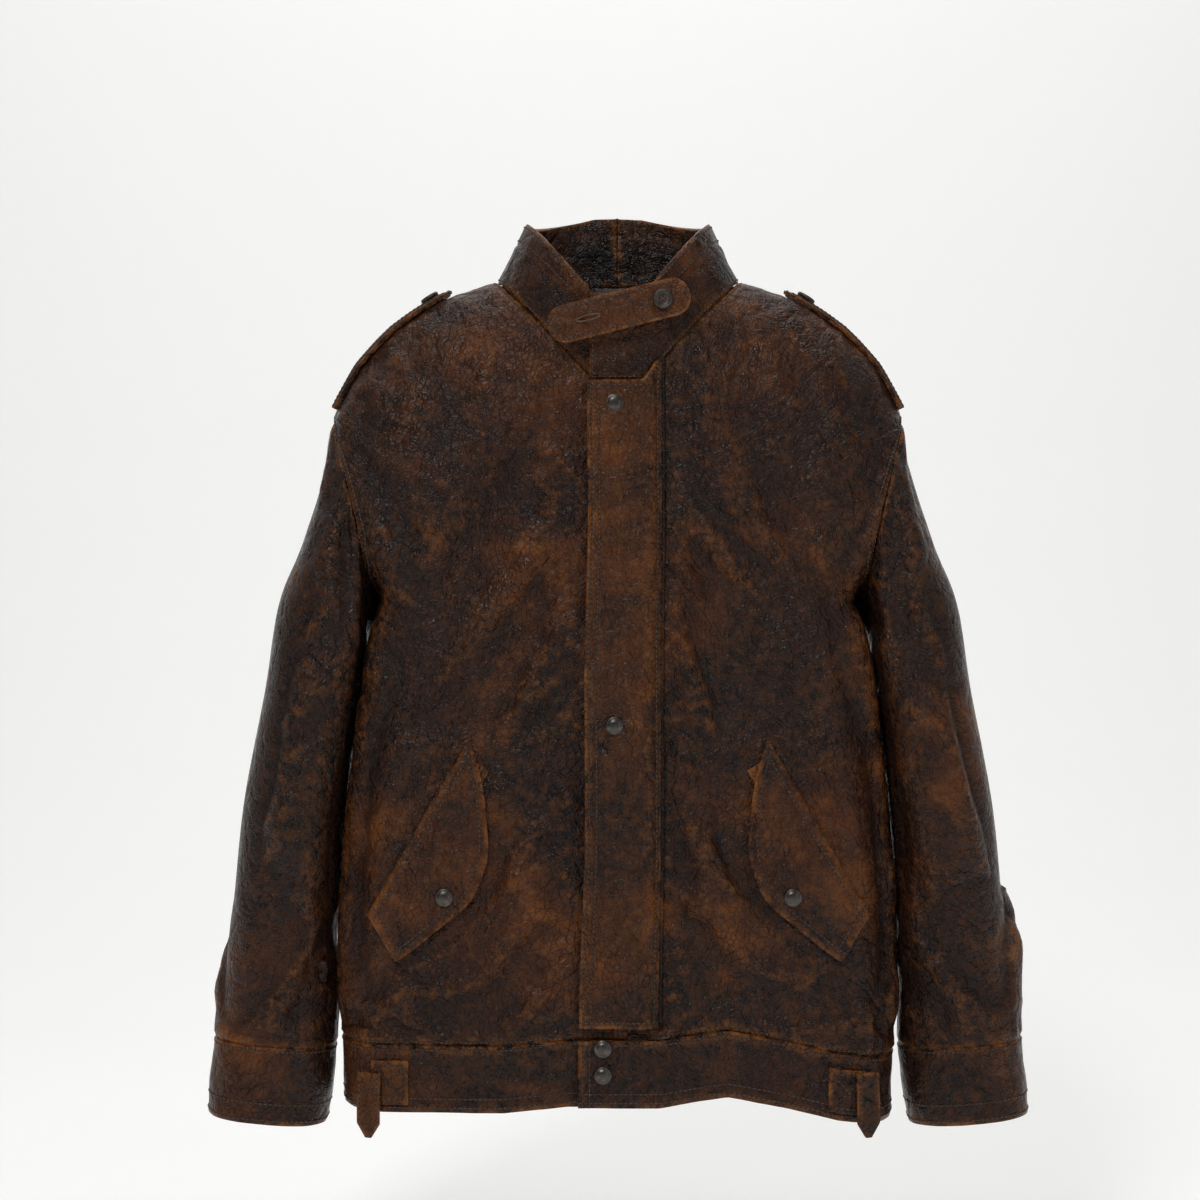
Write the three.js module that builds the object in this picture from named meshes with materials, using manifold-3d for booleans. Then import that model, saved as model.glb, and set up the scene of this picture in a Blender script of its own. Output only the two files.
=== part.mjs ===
// A leather riding jacket with a stand collar, storm flap, slanted pocket flaps and epaulettes.
// X runs to the wearer's left, -Y is the front, +Z is up; the origin is where a hanger
// carries the jacket, in the middle of the neck. Millimetres.
import * as THREE from "three";
import { mergeVertices } from "three/addons/utils/BufferGeometryUtils.js";
import Module from "manifold-3d";

const wasm = await Module();
wasm.setup();

// ---- driving dimensions ----
const bodyHalfWidth = 246; // at the waist seam
const bodyHalfDepth = 70;
const bodyLength = 737; // origin down to the hem
const sideRound = 45; // rounding of the body's sides
const bandHeight = 57; // waistband
const bandThick = 4;
const leather = 2.4;
const lining = 1;
const liningInset = 14;
const liningArmhole = 18; // the lining's armhole is cut this much wider than the leather's
const gap = 0.5; // between neighbouring pieces

const neckHalfWidth = 108;
const neckDrop = 106; // front neck below the origin
const collarHalfWidth = 82; // at the collar's top edge
const collarThick = 4.4;
const collarBackTop = 54;

const shoulderTip = { x: bodyHalfWidth + 7, z: -131 };
const armpit = { x: bodyHalfWidth - 32, z: -290 };
const sleeveHalfDepth = 66;
const cuffHalfDepth = 46;
const sleeveWidth = 96; // across the forearm, seen from the front
const sleeveDrop = 757; // origin down to the cuff's end
const cuffHeight = 62;
const cuffThick = 3.6;

const hingeX = 90; // each front folds open about an upright line this far out
const closureX = 16; // zip centre line
const flapEdgeX = -25; // free edge of the storm flap
const flapRootX = 40; // its sewn edge
const flapStandOff = 5.5; // storm flap's inside above the body
const flapThick = 2.5;
const tabEndX = -35; // free end of the waistband's left end
const bandOverlap = 7; // how far the left end stands above the right one

const zipTop = 114; // below the origin
const zipClear = 0.9; // chain to the zip's centre line
const chainWidth = 2.6;
const chainThick = 1.6;
const chainInset = 1.5; // chain's middle behind the body's face
const tapeWidth = 18;
const sliderLength = 16;
const sliderHalfWidth = 4.2;
const sliderHalfGap = 3.5;
const sliderPlate = 1.2;
const pullClear = 0.3; // pull's front face to the storm flap
const pullLength = 28;
const pullWidth = 7;
const pullThick = 1.7;

const snapRadius = 8;
const snapHeight = 3;
const studRadius = 5;
const buttonRadius = 8.5;
const buttonHeight = 3.4;
const snapX = -3.5; // snaps of the storm flap
const flapSnapDrop = 126; // below the origin
const bandSnapX = -13.5;
const bandSnapDrops = [10.5, 33.5]; // below the waist seam

const pocketFlapThick = 3;
const pocketStudHeight = 2.4;
const pocketSlot = 18; // width of the pocket's mouth
const pocketBagDepth = 8;
const pocketWall = 1;
const bagStandOff = 2.6; // behind the leather, clear of its flat cells near the rounding

const strapHalfWidth = 20; // epaulette
const strapThick = 2.6;
const collarTabHalfWidth = 16;
const collarTabLength = 126;
const adjusterWidth = 22;
const adjusterLength = 48;
const patchSize = 34;
const hangLoopWidth = 50;

// ---- derived places ----
const frontY = -bodyHalfDepth;
const hemZ = -bodyLength;
const waistZ = hemZ + bandHeight;
const chainY = frontY + chainInset;

// ---- solids ----
function solidOf(geometry) {
  geometry.deleteAttribute("uv");
  geometry.deleteAttribute("normal");
  const merged = mergeVertices(geometry, 1e-4);
  if (signedVolume(merged) < 0) turnOver(merged);
  const mesh = new wasm.Mesh({
    numProp: 3,
    vertProperties: new Float32Array(merged.attributes.position.array),
    triVerts: new Uint32Array(merged.index.array),
  });
  return new wasm.Manifold(mesh);
}

function geometryOf(solid) {
  const mesh = solid.getMesh();
  const geometry = new THREE.BufferGeometry();
  geometry.setAttribute("position", new THREE.BufferAttribute(mesh.vertProperties, 3));
  geometry.setIndex(new THREE.BufferAttribute(mesh.triVerts, 1));
  return geometry;
}

// Cuts the cells of a box's rear face along the same diagonals as the front's, so that the two
// faces of a thin, twisted sheet can't cross.
function matchDiagonals(box) {
  const { start, count } = box.groups[5];
  for (let i = start; i < start + count; i += 6) {
    const first = box.index.getX(i);
    const opposite = box.index.getX(i + 4);
    box.index.setX(i + 2, opposite);
    box.index.setX(i + 3, first);
  }
}

// A sheet of several cells, bent into place: place(a, b, c) gives the point for fractions
// along, up and through the sheet.
function sheet(cellsAlong, cellsUp, place) {
  const box = new THREE.BoxGeometry(1, 1, 1, cellsAlong, cellsUp, 1);
  matchDiagonals(box);
  const at = box.attributes.position;
  for (let i = 0; i < at.count; i++) {
    const point = place(at.getX(i) + 0.5, at.getY(i) + 0.5, at.getZ(i) + 0.5);
    at.setXYZ(i, point.x, point.y, point.z);
  }
  return solidOf(box);
}

function signedVolume(geometry) {
  const at = geometry.attributes.position;
  const corner = [new THREE.Vector3(), new THREE.Vector3(), new THREE.Vector3()];
  let sum = 0;
  for (let i = 0; i < geometry.index.count; i += 3) {
    corner.forEach((c, k) => c.fromBufferAttribute(at, geometry.index.getX(i + k)));
    sum += corner[0].dot(corner[1].cross(corner[2])) / 6;
  }
  return sum;
}

function turnOver(geometry) {
  const index = geometry.index;
  for (let i = 0; i < index.count; i += 3) {
    const second = index.getX(i + 1);
    index.setX(i + 1, index.getX(i + 2));
    index.setX(i + 2, second);
  }
}

// A flat outline in X and Z, given depth along Y from yNear (front) to yFar.
function plate(outline, yNear, yFar, holes = []) {
  const shape = new THREE.Shape(outline.map(([x, z]) => new THREE.Vector2(x, z)));
  shape.holes = holes;
  const depth = yFar - yNear;
  const geometry = new THREE.ExtrudeGeometry(shape, { depth, bevelEnabled: false });
  geometry.rotateX(Math.PI / 2);
  geometry.translate(0, yFar, 0);
  return solidOf(geometry);
}

// A flat outline in X and Y, run upwards from zLow to zHigh.
function column(outline, zLow, zHigh) {
  const shape = new THREE.Shape(outline.map(([x, y]) => new THREE.Vector2(x, y)));
  const geometry = new THREE.ExtrudeGeometry(shape, { depth: zHigh - zLow, bevelEnabled: false });
  geometry.translate(0, 0, zLow);
  return solidOf(geometry);
}

function block(x0, x1, y0, y1, z0, z1) {
  const geometry = new THREE.BoxGeometry(x1 - x0, y1 - y0, z1 - z0);
  geometry.translate((x0 + x1) / 2, (y0 + y1) / 2, (z0 + z1) / 2);
  return solidOf(geometry);
}

// A shape built along +Y, turned to face along the normal and seated on a point.
function seated(geometry, point, normal) {
  const upright = new THREE.Vector3(0, 1, 0);
  geometry.applyQuaternion(new THREE.Quaternion().setFromUnitVectors(upright, normal));
  geometry.translate(point.x, point.y, point.z);
  return solidOf(geometry);
}

// A round fastener: its flat back at the point, domed along the normal.
function domed(radius, height, point, normal) {
  const rim = height * 0.35;
  const profile = [[0, 0], [radius, 0], [radius, rim], [radius * 0.8, height * 0.8], [0, height]];
  const lathe = new THREE.LatheGeometry(profile.map(([r, h]) => new THREE.Vector2(r, h)), 12);
  return seated(lathe, point, normal);
}

// The same on the jacket's front, facing forwards.
function domedFront(radius, height, x, back, z) {
  return domed(radius, height, new THREE.Vector3(x, back, z), new THREE.Vector3(0, -1, 0));
}

function smooth(from, to, value) {
  return THREE.MathUtils.smoothstep(value, from, to);
}

// ---- the body's surface ----
// One ring of the body: half width, side rounding, front and back depth, and the heights of
// its front, side and back.
function ring(width, round, front, back, zFront, zSide, zBack) {
  return { width, round, front, back, zFront, zSide, zBack };
}

const depth = bodyHalfDepth;
const bellyZ = (waistZ + armpit.z) / 2 - 60;
const bodyRings = [
  ring(bodyHalfWidth, sideRound, depth, depth, waistZ, waistZ, waistZ),
  ring(bodyHalfWidth - 5, sideRound, depth, depth, bellyZ, bellyZ, bellyZ),
  ring(bodyHalfWidth - 16, sideRound, depth, depth, armpit.z - 110, armpit.z - 110, armpit.z - 110),
  ring(armpit.x - 2, sideRound, depth, depth, armpit.z, armpit.z, armpit.z),
  ring(shoulderTip.x + 9, sideRound + 25, depth, depth, -230, -235, -230),
  ring(shoulderTip.x + 14, sideRound + 35, depth, depth, -204, -182, -195),
  ring(shoulderTip.x, sideRound + 45, depth, depth - 3, -184, shoulderTip.z, -158),
  ring(shoulderTip.x - 23, sideRound + 55, depth, depth - 6, -165, -88, -122),
  ring(shoulderTip.x - 53, sideRound + 65, depth, depth - 9, -148, -56, -88),
  ring((shoulderTip.x + neckHalfWidth) / 2 - 20, sideRound + 72, depth, depth - 14, -128, -30, -50),
  ring(neckHalfWidth, neckHalfWidth - 22, depth, depth - 18, -neckDrop, -12, -10),
];
const topRing = ring(collarHalfWidth, collarHalfWidth - 22, depth + 7, depth - 15, -31, 40, collarBackTop);
const collarRings = [bodyRings[bodyRings.length - 1], topRing];
const bodyTop = bodyRings.length - 1;

function ringAt(rings, v) {
  const low = Math.min(Math.floor(v), rings.length - 2);
  const mixed = {};
  for (const key of Object.keys(rings[0]))
    mixed[key] = THREE.MathUtils.lerp(rings[low][key], rings[low + 1][key], v - low);
  return mixed;
}

// Lengths of a quarter ring: the straight run across the front and the round to the side.
function quarterOf(shape, across) {
  const flat = shape.width - shape.round;
  const arc = (Math.PI / 2) * Math.sqrt((shape.round ** 2 + across ** 2) / 2);
  return { flat, arc, whole: flat + arc };
}

// Where the ring meets the sideways distance x, as a fraction from the middle to the side.
function turnAtX(shape, x) {
  const { flat, arc, whole } = quarterOf(shape, shape.front);
  const far = Math.abs(x);
  if (far <= flat) return x / whole;
  const angle = Math.asin(Math.min(1, (far - flat) / shape.round));
  return (Math.sign(x) * (flat + (angle / (Math.PI / 2)) * arc)) / whole;
}

// turn: 0 front middle, 1 the left side, 2 back middle, 3 the right side, -1 the right side.
function surfacePoint(rings, v, turn) {
  const shape = ringAt(rings, v);
  const isBack = turn > 1;
  const part = isBack ? 2 - turn : turn;
  const across = isBack ? shape.back : shape.front;
  const { flat, arc, whole } = quarterOf(shape, across);
  const run = Math.abs(part) * whole;
  const angle = Math.max(0, ((run - flat) / arc) * (Math.PI / 2));
  const x = Math.min(run, flat) + shape.round * Math.sin(angle);
  const y = across * Math.cos(angle) * (isBack ? 1 : -1);
  const zMiddle = isBack ? shape.zBack : shape.zFront;
  const z = THREE.MathUtils.lerp(zMiddle, shape.zSide, Math.sin(angle));
  return new THREE.Vector3(x * Math.sign(part || 1), y, z);
}

// The same point moved outwards along the surface's own normal.
function offsetPoint(rings, v, turn, outwards) {
  const small = 0.02;
  const v0 = Math.max(0, v - small);
  const v1 = Math.min(rings.length - 1, v + small);
  const along = surfacePoint(rings, v, turn + small).sub(surfacePoint(rings, v, turn - small));
  const up = surfacePoint(rings, v1, turn).sub(surfacePoint(rings, v0, turn));
  const normal = along.cross(up).normalize();
  return surfacePoint(rings, v, turn).addScaledVector(normal, outwards);
}

// Part of the body's skin: from turn to turn, v to v, one row of cells between two rings;
// the turns may follow the height, and lift raises the whole skin locally.
function skin(rings, cells, turns, vs, outer, inner, side = 1, lift = () => 0) {
  return sheet(cells, rings.length - 1, (a, b, c) => {
    const v = THREE.MathUtils.clamp(b * (rings.length - 1), vs[0], vs[1]);
    const [from, to] = turns(v);
    const turn = THREE.MathUtils.lerp(from, to, a);
    const point = offsetPoint(rings, v, turn, lift(v, turn) + THREE.MathUtils.lerp(inner, outer, c));
    point.x *= side;
    return point;
  });
}

// ---- cutters ----
const far = 2000;

// Everything on one side of an upright plane through a front's folding line.
function foldHalf(side, isMoving) {
  const normal = new THREE.Vector3(0.724 * side, 0.69, 0);
  const geometry = new THREE.BoxGeometry(far, far, far);
  const reach = (isMoving ? -1 : 1) * (far / 2 + gap / 2);
  geometry.rotateZ(Math.atan2(normal.y, normal.x));
  geometry.translate(hingeX * side + normal.x * reach, frontY + normal.y * reach, -far / 4);
  return solidOf(geometry);
}

// Everything outside the armhole: a block standing on the armpit, leaning with the seam.
const armholeTilt = Math.atan2(shoulderTip.x - armpit.x, shoulderTip.z - armpit.z);
function armholeBlock(side, clearance, size) {
  const geometry = new THREE.BoxGeometry(size, far, size);
  geometry.translate(size / 2 + clearance, 0, size / 2 - clearance);
  geometry.rotateY(armholeTilt);
  geometry.translate(armpit.x, 0, armpit.z);
  if (side < 0) geometry.rotateZ(Math.PI);
  return solidOf(geometry);
}

// ---- building the group ----
const group = new THREE.Group();
const colours = {
  leather: [0x5f3723, 0.55, 0],
  dark: [0x2c211f, 0.6, 0],
  cloth: [0x2b2320, 0.9, 0],
  tape: [0x1f1b19, 0.9, 0],
  metal: [0x4a4643, 0.35, 1],
  brass: [0x8a7346, 0.35, 1],
  horn: [0x2a2320, 0.45, 0],
};

function add(name, solid, kind) {
  const [color, roughness, metalness] = colours[kind];
  const material = new THREE.MeshStandardMaterial({ color, roughness, metalness });
  const mesh = new THREE.Mesh(geometryOf(solid), material);
  mesh.name = name;
  group.add(mesh);
}

const sides = [["left", 1], ["right", -1]];
const frontEdgeX = { left: closureX + 8, right: -(closureX - 8) };
const openHalf = {};
const restHalf = {};
const armhole = {};
const liningCut = {};
for (const [name, side] of sides) {
  openHalf[name] = foldHalf(side, true);
  restHalf[name] = foldHalf(side, false);
  armhole[name] = armholeBlock(side, -gap / 2, 420);
  liningCut[name] = armholeBlock(side, -liningArmhole, 420);
}

// ---- body: back, fronts and their moving edges ----
const seam = 0.004; // half of the slit at a side seam, as a turn
const bodyVs = [gap / 60, bodyTop];
const back = skin(bodyRings, 16, () => [1 + seam, 3 - seam], bodyVs, 0, -leather)
  .subtract(armhole.left)
  .subtract(armhole.right);
add("back_panel", back, "leather");

function frontHalf(name, edgeX, outer, inner) {
  const side = name === "left" ? 1 : -1;
  const turns = (v) => [turnAtX(ringAt(bodyRings, v), edgeX), 1 - seam];
  return skin(bodyRings, 10, turns, bodyVs, outer, inner, side).subtract(armhole[name]);
}

const pocketTop = new THREE.Vector2(bodyHalfWidth - 116, waistZ + 262);
const pocketFoot = new THREE.Vector2(bodyHalfWidth - 29, waistZ + 117);
const pocketAlong = pocketFoot.clone().sub(pocketTop).normalize();
const pocketIn = new THREE.Vector2(pocketAlong.y, -pocketAlong.x); // towards the front middle
const pocketRun = pocketFoot.distanceTo(pocketTop);

// A point of the pocket given along its hinge line and away from it.
function pocketPoint(along, away) {
  const point = pocketTop.clone().addScaledVector(pocketAlong, along).addScaledVector(pocketIn, away);
  return [point.x, point.y];
}

function pocketRect(from, to, near, away) {
  const corners = [[from, near], [to, near], [to, away], [from, away]];
  return corners.map(([along, out]) => pocketPoint(along, out));
}

function mirrored(solid, side) {
  return side > 0 ? solid : solid.mirror([1, 0, 0]);
}

const slotFrom = 16;
const slotTo = pocketRun - 48;
const slotNear = 12;
const slotOutline = pocketRect(slotFrom, slotTo, slotNear, slotNear + pocketSlot);
const slotCut = plate(slotOutline, frontY - 20, frontY + 30);
for (const [name, side] of sides) {
  const whole = frontHalf(name, frontEdgeX[name], 0, -leather);
  const fixed = whole.intersect(restHalf[name]).subtract(mirrored(slotCut, side));
  add("front_panel_" + name, fixed, "leather");
  add("front_edge_" + name, whole.intersect(openHalf[name]), "leather");
}

// ---- waistband ----
const bandRings = [
  ring(bodyHalfWidth - 1, sideRound, depth, depth, hemZ, hemZ, hemZ),
  ring(bodyHalfWidth, sideRound, depth, depth, waistZ - gap, waistZ - gap, waistZ - gap),
];
const bandBack = skin(bandRings, 16, () => [1 + seam, 3 - seam], [0, 1], 0, -bandThick);
add("waistband_back", bandBack, "leather");

const bandEndX = { left: tabEndX, right: -(closureX - 4) };
for (const [name, side] of sides) {
  const turns = (v) => [turnAtX(ringAt(bandRings, v), bandEndX[name]), 1 - seam];
  const lift = (v, turn) => (name === "left" ? bandLift(v, turn) : 0);
  const whole = skin(bandRings, 20, turns, [0, 1], 0, -bandThick, side, lift);
  add("waistband_" + name, whole.intersect(restHalf[name]), "leather");
  add("waistband_end_" + name, whole.intersect(openHalf[name]), "leather");
}

// The left end rides over the right one.
function bandLift(v, turn) {
  const x = surfacePoint(bandRings, v, turn).x;
  return bandOverlap * (1 - smooth(closureX + 16, hingeX - 12, x));
}

// ---- linings ----
const liningVs = [0.12, bodyTop - 0.4];
const liningEdgeX = hingeX - 6; // behind the fold, clear of its cut
const outerLining = -liningInset;
const innerLining = -liningInset - lining;
const liningBack = skin(bodyRings, 12, () => [1 + seam, 3 - seam], liningVs, outerLining, innerLining)
  .subtract(liningCut.left)
  .subtract(liningCut.right);
add("lining_back", liningBack, "cloth");
for (const [name, side] of sides) {
  const turns = (v) => [turnAtX(ringAt(bodyRings, v), liningEdgeX), 1 - seam];
  const whole = skin(bodyRings, 6, turns, liningVs, outerLining, innerLining, side);
  add("lining_" + name, whole.subtract(liningCut[name]), "cloth");
}

// ---- collar ----
const collarVs = [gap / 70, 1];
const collarEndX = { left: -25, right: -(closureX - 4) };
const overlapShift = { left: 2.6, right: -2.4 };
const collarHalf = {};
for (const [name, side] of sides) {
  const turns = (v) => [turnAtX(ringAt(collarRings, v), collarEndX[name]), 2.012];
  const lift = (v, turn) => {
    const x = surfacePoint(collarRings, v, Math.min(turn, 1)).x;
    return turn >= 1 ? 0 : overlapShift[name] * (1 - smooth(closureX + 4, hingeX - 34, x));
  };
  collarHalf[name] = skin(collarRings, 20, turns, collarVs, 0, -collarThick, side, lift);
  add("collar_" + name, collarHalf[name].intersect(openHalf[name]), "leather");
}
const collarRest = sides.map(([name]) => collarHalf[name].intersect(restHalf[name]));
const collarBack = collarRest[0].add(collarRest[1]);
add("collar_back", collarBack, "dark");

// ---- storm flap ----
const flapTopZ = -neckDrop;
const flapFootZ = waistZ + gap * 2;
const flapInner = frontY - flapStandOff;
const flapOuter = flapInner - flapThick;
const flapBendX = flapRootX - 9; // where the flap turns down to its sewn root
const rootSection = [
  [flapBendX, flapOuter],
  [flapRootX - 6, flapOuter],
  [flapRootX, frontY - flapThick - 0.1],
  [flapRootX, frontY - gap],
  [flapRootX - 3, frontY - gap],
  [flapBendX, flapInner],
];
add("storm_flap", block(flapEdgeX, flapBendX - gap, flapOuter, flapInner, flapFootZ, flapTopZ), "leather");
add("storm_flap_root", column(rootSection, flapFootZ, flapTopZ), "leather");
add("flap_cap", domedFront(snapRadius, snapHeight, snapX, flapOuter - 0.3, -flapSnapDrop), "metal");
const flapStudHeight = flapStandOff - 0.8;
add("front_stud", domedFront(studRadius, flapStudHeight, snapX, frontY - 0.3, -flapSnapDrop), "metal");
bandSnapDrops.forEach((drop, i) => {
  const capBack = frontY - bandOverlap - 0.3;
  const z = waistZ - drop;
  add("band_cap_" + (i + 1), domedFront(snapRadius, snapHeight, bandSnapX, capBack, z), "metal");
  const studHeight = bandOverlap - bandThick - 0.6;
  add("band_stud_" + (i + 1), domedFront(studRadius, studHeight, bandSnapX, frontY - 0.3, z), "metal");
});

// ---- zip ----
const zipFoot = waistZ + 15;
for (const [name, side] of sides) {
  const x = (distance) => closureX + side * distance;
  const span = (near, wide) => [Math.min(x(near), x(near + wide)), Math.max(x(near), x(near + wide))];
  const chain = span(zipClear, chainWidth);
  const tape = span(zipClear + 0.6, tapeWidth);
  const tapeY = frontY + leather + 0.5;
  add("zip_teeth_" + name,
    block(...chain, chainY - chainThick / 2, tapeY - 0.3, zipFoot, -zipTop), "brass");
  add("zip_tape_" + name, block(...tape, tapeY, tapeY + 0.8, zipFoot - 4, -zipTop + 4), "tape");
}

const sliderZ = -zipTop - 2;
const plateOuter = sliderHalfGap + sliderPlate;
const web = 0.5;
const sliderSection = [
  [-sliderHalfWidth, -plateOuter], [sliderHalfWidth, -plateOuter], [sliderHalfWidth, -sliderHalfGap],
  [web, -sliderHalfGap], [web, sliderHalfGap], [sliderHalfWidth, sliderHalfGap],
  [sliderHalfWidth, plateOuter], [-sliderHalfWidth, plateOuter], [-sliderHalfWidth, sliderHalfGap],
  [-web, sliderHalfGap], [-web, -sliderHalfGap], [-sliderHalfWidth, -sliderHalfGap],
].map(([x, y]) => [closureX + x, chainY + y]);
const sliderBody = column(sliderSection, sliderZ - sliderLength / 2, sliderZ + sliderLength / 2);
const postTop = flapInner + pullClear + 0.05;
const postRoot = chainY - plateOuter + 0.4;
const post = new THREE.CylinderGeometry(1.2, 1.2, postRoot - postTop, 12);
post.translate(closureX, (postRoot + postTop) / 2, sliderZ);
add("zip_slider", sliderBody.add(solidOf(post)), "brass");

const pullNear = flapInner + pullClear;
const pullFar = pullNear + pullThick;
const pullHole = new THREE.Path();
pullHole.absarc(closureX, sliderZ, 1.8, 0, Math.PI * 2, true);
const pullOutline = [
  [-pullWidth / 2, 3], [-pullWidth / 2, -pullLength + 3], [-1.5, -pullLength],
  [1.5, -pullLength], [pullWidth / 2, -pullLength + 3], [pullWidth / 2, 3], [1.5, 4.5], [-1.5, 4.5],
].map(([x, z]) => [closureX + x, sliderZ + z]);
add("zip_pull", plate(pullOutline, pullNear, pullFar, [pullHole]), "brass");

// ---- pockets ----
const pocketOutline = [
  pocketPoint(0, 0), pocketPoint(pocketRun, 0), pocketPoint(pocketRun + 9, 5),
  pocketPoint(pocketRun + 30, 38), pocketPoint(pocketRun + 28, 47), pocketPoint(118, 76),
  pocketPoint(78, 68), pocketPoint(30, 34),
];
const pocketSnap = pocketPoint(127, 52);
const pocketInner = frontY - pocketStudHeight - 0.6;
const pocketOuter = pocketInner - pocketFlapThick;
const bagNear = frontY + leather + bagStandOff;
const bagFar = bagNear + pocketBagDepth;
const bagTo = slotTo + 10;
const bagOuter = plate(pocketRect(0, bagTo, 2, 84), bagNear, bagFar);
const bagInner = plate(pocketRect(pocketWall, bagTo - pocketWall, 2 + pocketWall, 84 - pocketWall),
  bagNear - 5, bagFar - pocketWall);
for (const [name, side] of sides) {
  add("pocket_flap_" + name, mirrored(plate(pocketOutline, pocketOuter, pocketInner), side), "leather");
  const [x, z] = pocketSnap;
  const cap = domedFront(snapRadius, snapHeight, x * side, pocketOuter - 0.3, z);
  add("pocket_cap_" + name, cap, "metal");
  const stud = domedFront(studRadius, pocketStudHeight, x * side, frontY - 0.3, z);
  add("pocket_stud_" + name, stud, "metal");
  add("pocket_bag_" + name, mirrored(bagOuter.subtract(bagInner), side), "cloth");
}

// ---- epaulettes ----
const strapVs = [6.12, 9.2];
const strapRaise = 1.4; // clear of the shoulder
const buttonV = 8.9;
const buttonTurn = 0.985;
for (const [name, side] of sides) {
  const strap = sheet(6, 10, (a, b, c) => {
    const v = THREE.MathUtils.lerp(strapVs[0], strapVs[1], b);
    const whole = quarterOf(ringAt(bodyRings, v), depth).whole;
    const rounded = Math.sqrt(Math.max(0.1, 1 - Math.max(0, (b - 0.85) / 0.15) ** 2));
    const half = (strapHalfWidth * rounded) / whole;
    const point = offsetPoint(bodyRings, v, 1 + (a - 0.5) * 2 * half, strapRaise + strapThick * c);
    point.x *= side;
    return point;
  });
  add("epaulette_" + name, strap, "leather");
  const seat = offsetPoint(bodyRings, buttonV, buttonTurn, strapRaise + strapThick + 0.6);
  const button = new THREE.CylinderGeometry(buttonRadius, buttonRadius, buttonHeight, 16);
  button.translate(0, buttonHeight / 2, 0);
  const raised = offsetPoint(bodyRings, buttonV, buttonTurn, 10);
  const slope = raised.sub(offsetPoint(bodyRings, buttonV, buttonTurn, 0)).normalize();
  add("epaulette_button_" + name, mirrored(seated(button, seat, slope), side), "horn");
}

// ---- collar tab ----
const tabButton = { x: 38, z: -38 };
const tabTilt = THREE.MathUtils.degToRad(14);
const tabFar = frontY - 14.5;
const tabNear = tabFar - 2.6;
const tabOutline = new THREE.Shape();
tabOutline.absarc(8, 0, collarTabHalfWidth, -Math.PI / 2, Math.PI / 2, false);
tabOutline.absarc(8 - collarTabLength + 2 * collarTabHalfWidth, 0, collarTabHalfWidth, Math.PI / 2,
  -Math.PI / 2 + Math.PI * 2, false);
const tabHole = new THREE.Path();
tabHole.absarc(0, 0, 2.4, 0, Math.PI * 2, true);
tabOutline.holes = [tabHole];
const tabSettings = { depth: 2.6, bevelEnabled: false, curveSegments: 8 };
const tabGeometry = new THREE.ExtrudeGeometry(tabOutline, tabSettings);
tabGeometry.rotateZ(tabTilt);
tabGeometry.rotateX(Math.PI / 2);
tabGeometry.translate(tabButton.x, tabFar, tabButton.z);
add("collar_tab", solidOf(tabGeometry), "leather");
const shank = new THREE.CylinderGeometry(1.8, 1.8, 22, 12);
shank.translate(tabButton.x, tabNear - 0.5 + 11, tabButton.z);
const tabDisc = new THREE.CylinderGeometry(buttonRadius, buttonRadius, buttonHeight, 20);
tabDisc.translate(tabButton.x, tabNear - 0.4 - buttonHeight / 2, tabButton.z);
const tabShank = solidOf(shank).subtract(collarHalf.left);
const nearY = (solid) => solid.boundingBox().min[1];
const nearestPart = tabShank.decompose().sort((a, b) => nearY(a) - nearY(b))[0];
const shankEnd = nearestPart.boundingBox().max[1] - 0.4;
const shankFront = nearestPart.intersect(block(-far, far, -far, shankEnd, -far, far));
add("collar_tab_button", solidOf(tabDisc).add(shankFront), "horn");

// ---- sleeves ----
// One cut across a sleeve: its inner and outer edge seen from the front, and its half depth.
const cuffTopZ = -(sleeveDrop - cuffHeight);
const sleeveGap = 4; // clear of the body's side
const foreX = bodyHalfWidth + sleeveWidth; // outer edge of the forearm
const sleeveCuts = [
  [armpit.x + 2, armpit.z, shoulderTip.x, shoulderTip.z, sleeveHalfDepth],
  [armpit.x + 12, armpit.z - 52, shoulderTip.x + 30, shoulderTip.z - 106, sleeveHalfDepth + 2],
  [bodyHalfWidth - 16 + sleeveGap, armpit.z - 108, shoulderTip.x + 53, armpit.z - 6, sleeveHalfDepth],
  [bodyHalfWidth - 8 + sleeveGap, armpit.z - 170, shoulderTip.x + 66, armpit.z - 84, sleeveHalfDepth - 2],
  [bodyHalfWidth - 2 + sleeveGap, armpit.z - 236, foreX - 4, armpit.z - 184, sleeveHalfDepth - 6],
  [bodyHalfWidth + sleeveGap, cuffTopZ + 100, foreX + 6, cuffTopZ + 130, sleeveHalfDepth - 12],
  [bodyHalfWidth + 3 + sleeveGap, cuffTopZ, foreX + 19, cuffTopZ + 8, cuffHalfDepth + 2],
  [bodyHalfWidth + 15, -sleeveDrop - 5, foreX + 25, -sleeveDrop + 5, cuffHalfDepth],
].map(([inX, inZ, outX, outZ, half]) => ({ inX, inZ, outX, outZ, half }));
const cuffV = sleeveCuts.length - 2;

// angle: 0 the outer edge, a quarter turn the front, half a turn the inner edge.
function sleevePoint(v, angle) {
  const cut = ringAt(sleeveCuts, v);
  const along = Math.cos(angle);
  const squared = (value) => Math.sign(value) * Math.abs(value) ** 0.85;
  const x = (cut.inX + cut.outX) / 2 + (squared(along) * (cut.outX - cut.inX)) / 2;
  const z = (cut.inZ + cut.outZ) / 2 + (squared(along) * (cut.outZ - cut.inZ)) / 2;
  return new THREE.Vector3(x, -cut.half * squared(Math.sin(angle)), z);
}

function sleeveNormal(v, angle) {
  const small = 0.03;
  const around = sleevePoint(v, angle + small).sub(sleevePoint(v, angle - small));
  const lower = sleevePoint(Math.min(v + small, cuffV + 1), angle);
  return around.cross(lower.sub(sleevePoint(Math.max(v - small, 0), angle))).normalize();
}

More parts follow.
